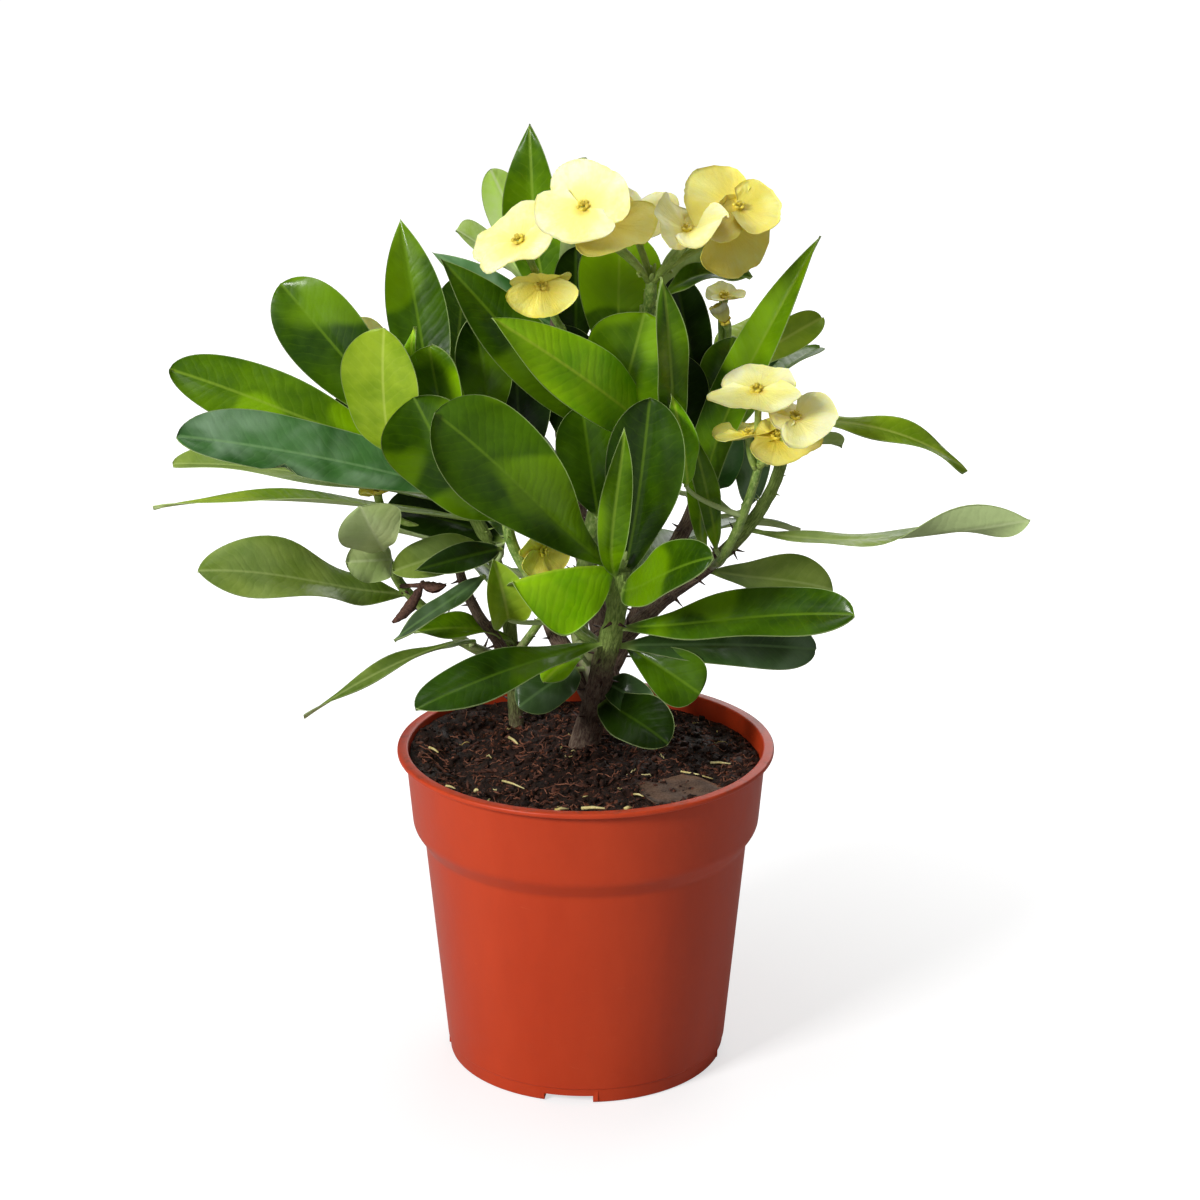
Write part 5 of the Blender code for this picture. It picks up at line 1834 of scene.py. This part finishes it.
@dataclass(frozen=True)
class Flower:
    """Two broad bracts round a small cup, on a stalk from a flower stem."""

    name: str
    stem: str
    height: float
    centre: Point
    faces: Point
    radius: float
    spin: float = 0.0
    cup: float = 3.0
    bearing: Bearing = Bearing.OPEN
    shaded: bool = False
    tilts: tuple[float, float] = (14.0, 6.0)
    sizes: tuple[float, float] = (1.0, 1.0)
    roll: float = 1.5
    fork: Point | None = None
    cad: bool = True

    thick = 0.5
    stalk_radius = 1.15
    cup_radius = 1.55
    overlap = math.radians(106)

    def _bract(self, sculpt: Sculpt, turn: Matrix, index: int) -> None:
        """Spread one kidney-shaped bract.

        Args:
            sculpt: The flower's mesh.
            turn: From the flower's own frame to the plant's.
            index: 0 for the bract below, 1 for the one over it.
        """
        seed = sum(map(ord, self.name)) % 23 + index * 5.3
        rings, spokes = 12, 30
        tops, unders = [], []
        for ring in range(rings + 1):
            share = 0.07 + 0.93 * ring / rings
            top, under = [], []
            for k in range(spokes + 1):
                angle = self.overlap * (2 * k / spokes - 1)
                shoulder = (0.88 + 0.16 * math.sin(angle) ** 2) * (1 - 0.5 * smooth_step(
                    math.radians(70), self.overlap * 1.02, abs(angle)) ** 1.4)
                dimple = 1 - 0.06 * math.exp(-(angle / 0.22) ** 2) + 0.035 * math.exp(-(angle / 0.07) ** 2)
                reach = self.radius * self.sizes[index] * shoulder * dimple * share
                out = math.pi * (index + 0.5) + angle
                flare = self.cup * share ** 1.7 * (0.25 + 0.75 * math.cos(angle / 2) ** 2)
                if self.bearing is Bearing.BUD:
                    flare += self.radius * 1.1 * share
                lip = 1.5 * index * share * math.sin(angle * 0.5) ** 2 + 0.5 * index * share
                east, north = math.cos(out), math.sin(out)
                ripple = (3.0 * noise.noise(Vector((east * 1.5, north * 1.5, seed)))
                          + 0.9 * noise.noise(Vector((east * share * 4, north * share * 4, seed)))
                          + 0.45 * math.sin(angle * 4 + seed)
                          - self.roll * math.sin(angle) ** 2) * share * share * self.radius / 14
                rise = flare + ripple + lip * 1.1 + 0.4
                spot = Vector((east * reach, north * reach, rise)) * MM
                if self.bearing is Bearing.BUD:
                    spot.x, spot.y = spot.x * (1 - 0.5 * share), spot.y * (1 - 0.5 * share)
                lean = self.tilts[index] * smooth_step(-0.5, 0.9, math.cos(angle)) * (1 - 2 * index)
                spot.rotate(Matrix.Rotation(math.radians(lean), 3, "X"))
                thick = self.thick * (1 - 0.5 * share) * MM / 2
                paint = (k / spokes + index, share, 1)
                top.append(sculpt.corner(turn @ (spot + Vector((0, 0, thick))), paint))
                under.append(sculpt.corner(turn @ (spot - Vector((0, 0, thick))), (*paint[:2], 0)))
            tops.append(top[::-1])
            unders.append(under[::-1])
        close_blade(sculpt, tops, unders, 0)

    def _cyathium(self, sculpt: Sculpt, turn: Matrix) -> None:
        """Set the cup, its five glands and a few stamens in the middle.

        Args:
            sculpt: The flower's mesh.
            turn: From the flower's own frame to the plant's.
        """
        profile = ((0.5, -0.2), (0.85, 0.5), (1.0, 1.2), (0.98, 1.7), (0.7, 1.75), (0.5, 1.0))
        rows = [[sculpt.corner(turn @ (Vector((r * self.cup_radius * math.cos(math.tau * k / 20),
                                               r * self.cup_radius * math.sin(math.tau * k / 20), h)) * MM))
                 for k in range(20)] for r, h in profile]
        sculpt.loft(rows, 1, around=True)
        sculpt.fan(rows[-1], sculpt.corner(turn @ Vector((0, 0, 0.9 * MM))), 1)
        sculpt.fan(rows[0], sculpt.corner(turn @ Vector((0, 0, -0.2 * MM))), 1, flip=True)
        basis = turn.to_3x3()
        for k in range(5):
            angle = math.tau * k / 5 + 0.3
            out = basis @ Vector((math.cos(angle), math.sin(angle), 0))
            wide = basis @ Vector((-math.sin(angle), math.cos(angle), 0))
            up = basis @ Vector((0, 0, 1))
            centre = turn @ (Vector((math.cos(angle) * 1.5, math.sin(angle) * 1.5, 1.75)) * MM)
            sculpt.lump(centre, [out * 0.62 * MM, wide * 0.8 * MM, up * 0.36 * MM], 1, rings=4, spokes=10)
        for k in range(7):
            angle = k * 2.4
            reach = 0.2 + 0.09 * k
            foot = turn @ (Vector((math.cos(angle) * reach * 0.5, math.sin(angle) * reach * 0.5, 1.0)) * MM)
            head = turn @ (Vector((math.cos(angle) * reach, math.sin(angle) * reach, 2.3 + 0.1 * k)) * MM)
            sculpt.tube([foot, foot.lerp(head, 0.6), head], [0.1 * MM] * 3, 5, 1)
            sculpt.lump(head, [Vector(v) * 0.26 * MM for v in ((1, 0, 0), (0, 1, 0), (0, 0, 0.8))], 1,
                        rings=3, spokes=6)

    def build(self, skins: dict[str, bpy.types.Material]) -> bpy.types.Object:
        """Build the whole flower on its stalk.

        Args:
            skins: The flower materials by name.

        Returns:
            The piece.
        """
        sculpt = Sculpt(("bloom_" + self.name[7:]) if self.cad else self.name,
                        skins["shaded_bract" if self.shaded else "bract"], skins["cyathium"], skins["stalk"])
        centre, facing = grown(self.centre), Vector(self.faces).normalized()
        turn = Matrix.Translation(centre) @ facing.to_track_quat("Z", "Y").to_matrix().to_4x4() \
            @ Matrix.Rotation(math.radians(self.spin), 4, "Z")
        for index in (0, 1):
            self._bract(sculpt, turn, index)
        self._cyathium(sculpt, turn)
        axis, along, radius = STEMS[self.stem].at(self.height)
        axis = grown(self.fork) if self.fork else axis
        out = across(centre - axis, along)
        start = axis + out * radius * 0.5
        span = (centre - start).length
        rise = (centre - start) * 0.35 + (along if self.fork else out) * span * 0.12
        line = [start, start + rise, centre - facing * span * 0.3, centre + facing * 0.5 * MM]
        points = [bezier(line, k / 14)[0] for k in range(15)]
        radii = [self.stalk_radius * (0.95 + 0.35 * smooth_step(0.8, 1.0, k / 14)) * MM for k in range(15)]
        sculpt.tube(points, radii, 12, 2, (0.7, 1.0))
        for lean in (-1, 1):
            side = across(along.cross(out) * lean + out * 0.4, along)
            root = start.lerp(points[3], 0.6)
            sculpt.lump(root + side * 1.1 * MM, [side * 1.1 * MM, along.cross(side) * 0.75 * MM,
                                                 along * 0.3 * MM], 2, rings=4, spokes=8)
        return sculpt.done([self.name] if self.cad else ())


FORK, LEFT_FORK = (20, -4, 157), (-12, -5, 152)
FLOWERS = (
    Flower("flower_centre", "top_flower_stem", 150, (0, -30, 184), (-0.3, -0.6, 0.75), 14, -20,
           tilts=(14, -8), sizes=(1.15, 1.1), fork=FORK),
    Flower("flower_under_centre", "top_flower_stem", 150, (6, -23, 178), (0.25, -0.6, 0.75), 13, 25,
           shaded=True, tilts=(0, 6), sizes=(1.0, 1.2), fork=FORK),
    Flower("flower_left", "top_flower_stem", 150, (-19, -24, 173), (-0.4, -0.6, 0.75), 13, 42,
           tilts=(-10, 4), sizes=(1.15, 1.05), roll=2.5, fork=(-13, -18, 160)),
    Flower("flower_hanging", "top_flower_stem", 150, (-13, -17, 159), (0.05, -0.95, 0.15), 10.5, 4, 2,
           shaded=True, tilts=(48, -10), sizes=(0.9, 1.05), roll=0.5, fork=LEFT_FORK),
    Flower("flower_right", "top_flower_stem", 150, (30, -20, 175), (0.0, -0.2, 1.0), 12.5, 80, 3,
           tilts=(36, 12), sizes=(1.15, 1.2), roll=2.5, fork=FORK),
    Flower("flower_far_right", "top_flower_stem", 150, (46, -5, 179), (0.05, -0.4, 0.9), 13, 78, 3,
           tilts=(6, -16), sizes=(1.55, 1.1), roll=1.0, fork=FORK, shaded=True),
    Flower("flower_behind", "top_flower_stem", 150, (15, -6, 176), (0.1, -0.3, 0.95), 12.5, 60,
           sizes=(1.0, 1.2), fork=FORK),
    Flower("flower_side_top", "side_flower_stem", 104, (52, -13, 125), (-0.2, -0.45, 0.85), 12.5, 8,
           tilts=(-8, 2), sizes=(0.95, 1.2), roll=1.8),
    Flower("flower_side_low", "side_flower_stem", 101, (63, -18, 118), (0.3, -0.45, 0.9), 11.5, 38,
           tilts=(-28, 4), sizes=(0.7, 1.25), roll=2.2),
    Flower("flower_rear", "rear_right_stem", 126, (43, 20, 146), (0.2, -0.3, 1), 6.5, 0, 2),
    Flower("flower_rear_left", "left_stem", 110, (-72, 40, 126), (-0.2, -0.4, 0.9), 10),
    Flower("bloom_far_low", "top_flower_stem", 150, (42, -4, 175), (0.8, -0.6, 0.0), 12.5, 12, 3, shaded=True,
           tilts=(-20, 10), sizes=(0.7, 1.5), roll=0.5, fork=FORK, cad=False),
    Flower("bloom_side_under", "side_flower_stem", 98, (50, -6, 109), (-0.1, -0.1, 1.0), 11, 50, shaded=True,
           tilts=(-5, 0), cad=False),
    Flower("bloom_side_low", "side_flower_stem", 99, (58, -13, 110), (0.15, -0.35, 0.9), 12, 20, shaded=True,
           tilts=(0, -8), sizes=(0.6, 1.2), roll=2.0, cad=False),
    Flower("bloom_rear_low", "rear_right_stem", 122, (44, 22, 138), (-0.3, -0.6, 0.7), 6, 30, 3, Bearing.BUD,
           cad=False),
    Flower("bloom_low_shaded", "front_left_shoot", 60, (-14, -4, 72), (0.75, -0.65, 0.1), 10.5, 0, 2,
           shaded=True, cad=False),
    Flower("bloom_left_pale", "left_stem", 66, (-66, 20, 83), (0, -0.3, 1), 6, 20, 2, shaded=True, cad=False),
)


@dataclass(frozen=True)
class WitheredFlower:
    """A dried bract pair that hangs crumpled from the low left branch."""

    height: float = 54.0
    hinge: Point = (-52, 4, 58)
    tips: tuple[Point, Point] = ((-61, 3, 46), (-44, 1, 58))

    def build(self, groups: Groups) -> bpy.types.Object:
        """Crumple two bracts at the end of a thin stalk.

        Args:
            groups: The shared node groups.

        Returns:
            The piece.
        """
        sculpt = Sculpt("dried_bloom", DeadSkin("withered_bract").material(groups))
        axis, _, radius = STEMS["low_left_branch"].at(self.height)
        start = axis + Vector((0, -1, -0.2)).normalized() * radius * 0.6
        middle = grown(self.hinge)
        sculpt.tube([start, start.lerp(middle, 0.6), middle], [0.8 * MM, 0.7 * MM, 0.9 * MM], 8)
        for index in (0, 1):
            span = grown(self.tips[index]) - middle
            along = span.normalized()
            side = across(Vector((0.3, 1.0 - 2.0 * index, 0.6)), along)
            up = along.cross(side)
            tops, unders = [], []
            for i in range(13):
                t = i / 12
                half = (3.1 * math.sin(math.pi * min(1.0, t * 0.92 + 0.05)) ** 0.8 + 0.2) * MM
                row, base = [], []
                for j in range(-6, 7):
                    share = j / 6
                    bend = math.radians(150) * share
                    crinkle = noise.noise(Vector((i * 0.7, j * 0.8, index * 9.0))) * 0.8 * MM
                    spot = middle + span * t + side * (half * math.sin(bend) * 0.6 + crinkle) \
                        + up * (half * (1 - math.cos(bend)) * 0.5 - index * 1.2 * MM + crinkle)
                    row.append(sculpt.corner(spot, (abs(share), t, 1)))
                    base.append(sculpt.corner(spot - up * 0.3 * MM, (abs(share), t, 0)))
                tops.append(row)
                unders.append(base)
            close_blade(sculpt, tops, unders, 0)
        return sculpt.done(["withered_flower"])


# --------------------------------------------------------------------- plant


@dataclass(frozen=True)
class Plant:
    """The euphorbia: stems, leaves and flowers."""

    def build(self, groups: Groups) -> list[bpy.types.Object]:
        """Build every part of the plant.

        Args:
            groups: The shared node groups.

        Returns:
            The pieces.
        """
        stem_finishes = {"bark": Bark("bark"), "green": GreenSkin("green_stem"), "thorn": ThornSkin("thorn"),
                         "soft_thorn": ThornSkin("soft_thorn", "7FA046", "9DB060")}
        bloom_finishes = {"bract": BractSkin("bract"),
                          "shaded_bract": BractSkin("shaded_bract", "FEF490", "F8E65C", "E4CC44"),
                          "cyathium": CyathiumSkin("cyathium"),
                          "stalk": GreenSkin("stalk", "6F9030", "A3B45A", "8A8F50")}
        stem_skins, leaf_skins, bloom_skins = (
            {key: finish.material(groups) for key, finish in finishes.items()}
            for finishes in (stem_finishes, LEAF_SKINS, bloom_finishes))
        pieces = [stem.build(stem_skins) for stem in STEMS.values()]
        pieces += [leaf.build(leaf_skins) for leaf in (*LEAVES, *INNER_LEAVES, *REAR_LEAVES)]
        pieces += [flower.build(bloom_skins) for flower in FLOWERS]
        return [*pieces, WitheredFlower().build(groups)]


# -------------------------------------------------------------------- studio


@dataclass(frozen=True)
class Lamp:
    """A soft box: where it stands, how wide it is and how strong."""

    name: str
    place: Point
    width: float
    power: float


@dataclass(frozen=True)
class Studio:
    """The camera, floor and soft lights."""

    eye: Point = (0.00455, -0.8837, 0.4450)
    gaze: Point = (0.0, 0.9493, -0.3143)
    lens: float = 89.0
    aim: Point = (0.0, 0.0, 0.15)
    lamps: tuple[Lamp, ...] = field(default=(
        Lamp("key_light", (-0.95, -0.98, 0.85), 0.4, 21.0),
        Lamp("fill_light", (0.95, -0.7, 0.35), 0.9, 0.3),
        Lamp("top_light", (-0.1, 0.15, 1.3), 0.7, 3.5),
        Lamp("back_light", (0.3, 1.0, 0.7), 0.8, 5.0),
    ))

    def build(self, groups: Groups) -> None:
        """Set up the scene round the plant.

        Args:
            groups: The shared node groups.
        """
        scene = bpy.context.scene
        scene.view_settings.view_transform = "Standard"
        self._camera(scene)
        self._floor(scene, groups)
        self._sky(scene)
        for lamp in self.lamps:
            self._light(scene, lamp)

    def _camera(self, scene: bpy.types.Scene) -> None:
        """Place the camera.

        Args:
            scene: The scene.
        """
        lens = bpy.data.cameras.new("camera")
        lens.lens = self.lens
        lens.sensor_width = 36.0
        lens.clip_start = 0.01
        camera = bpy.data.objects.new("camera", lens)
        camera.location = self.eye
        camera.rotation_euler = Vector(self.gaze).to_track_quat("-Z", "Y").to_euler()
        scene.collection.objects.link(camera)
        scene.camera = camera

    def _floor(self, scene: bpy.types.Scene, groups: Groups) -> None:
        """Lay a wide pale floor under the pot.

        Args:
            scene: The scene.
            groups: The shared node groups.
        """
        shape = bmesh.new()
        bmesh.ops.create_grid(shape, x_segments=8, y_segments=8, size=4.0)
        mesh = bpy.data.meshes.new("floor")
        shape.to_mesh(mesh)
        shape.free()
        mesh.materials.append(FloorPaint("floor_paint").material(groups))
        floor = bpy.data.objects.new("floor", mesh)
        floor.location.z = -0.0002
        scene.collection.objects.link(floor)

    def _sky(self, scene: bpy.types.Scene) -> None:
        """Fill the room with even white light, and show it as white behind the plant.

        Args:
            scene: The scene.
        """
        world = bpy.data.worlds.new("studio")
        scene.world = world
        world.use_nodes = True
        w = Wiring(world.node_tree)
        sky = world.node_tree.nodes["Background"]
        sky.inputs["Color"].default_value = (1.0, 1.0, 1.0, 1.0)
        seen = w.node("LightPath").outputs["Is Camera Ray"]
        w.tree.links.new(w.remap(seen, 0.0, 1.0, 0.2, 1.0), sky.inputs["Strength"])

    def _light(self, scene: bpy.types.Scene, lamp: Lamp) -> None:
        """Hang one soft box, turned to the plant.

        Args:
            scene: The scene.
            lamp: The soft box.
        """
        light = bpy.data.lights.new(lamp.name, "AREA")
        light.size = lamp.width
        light.energy = lamp.power
        made = bpy.data.objects.new(lamp.name, light)
        made.location = lamp.place
        made.rotation_euler = (Vector(self.aim) - Vector(lamp.place)).to_track_quat("-Z", "Y").to_euler()
        scene.collection.objects.link(made)


def corners(box: tuple[Vector, Vector]) -> list[list[float]]:
    """A box as plain lists of numbers."""
    return [[float(value) for value in corner] for corner in box]


def main() -> None:
    """Build the pot, soil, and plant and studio."""
    logging.basicConfig(level=logging.INFO, format="%(name)s %(message)s")
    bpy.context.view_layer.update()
    groups = Groups()
    pot = Pot()
    pieces = [*pot.build(groups), *SoilBed().build(groups, pot), *Plant().build(groups)]
    Studio().build(groups)
    log.info("%d pieces", len(pieces))
    bpy.context.view_layer.update()


if __name__ == "__main__":
    main()
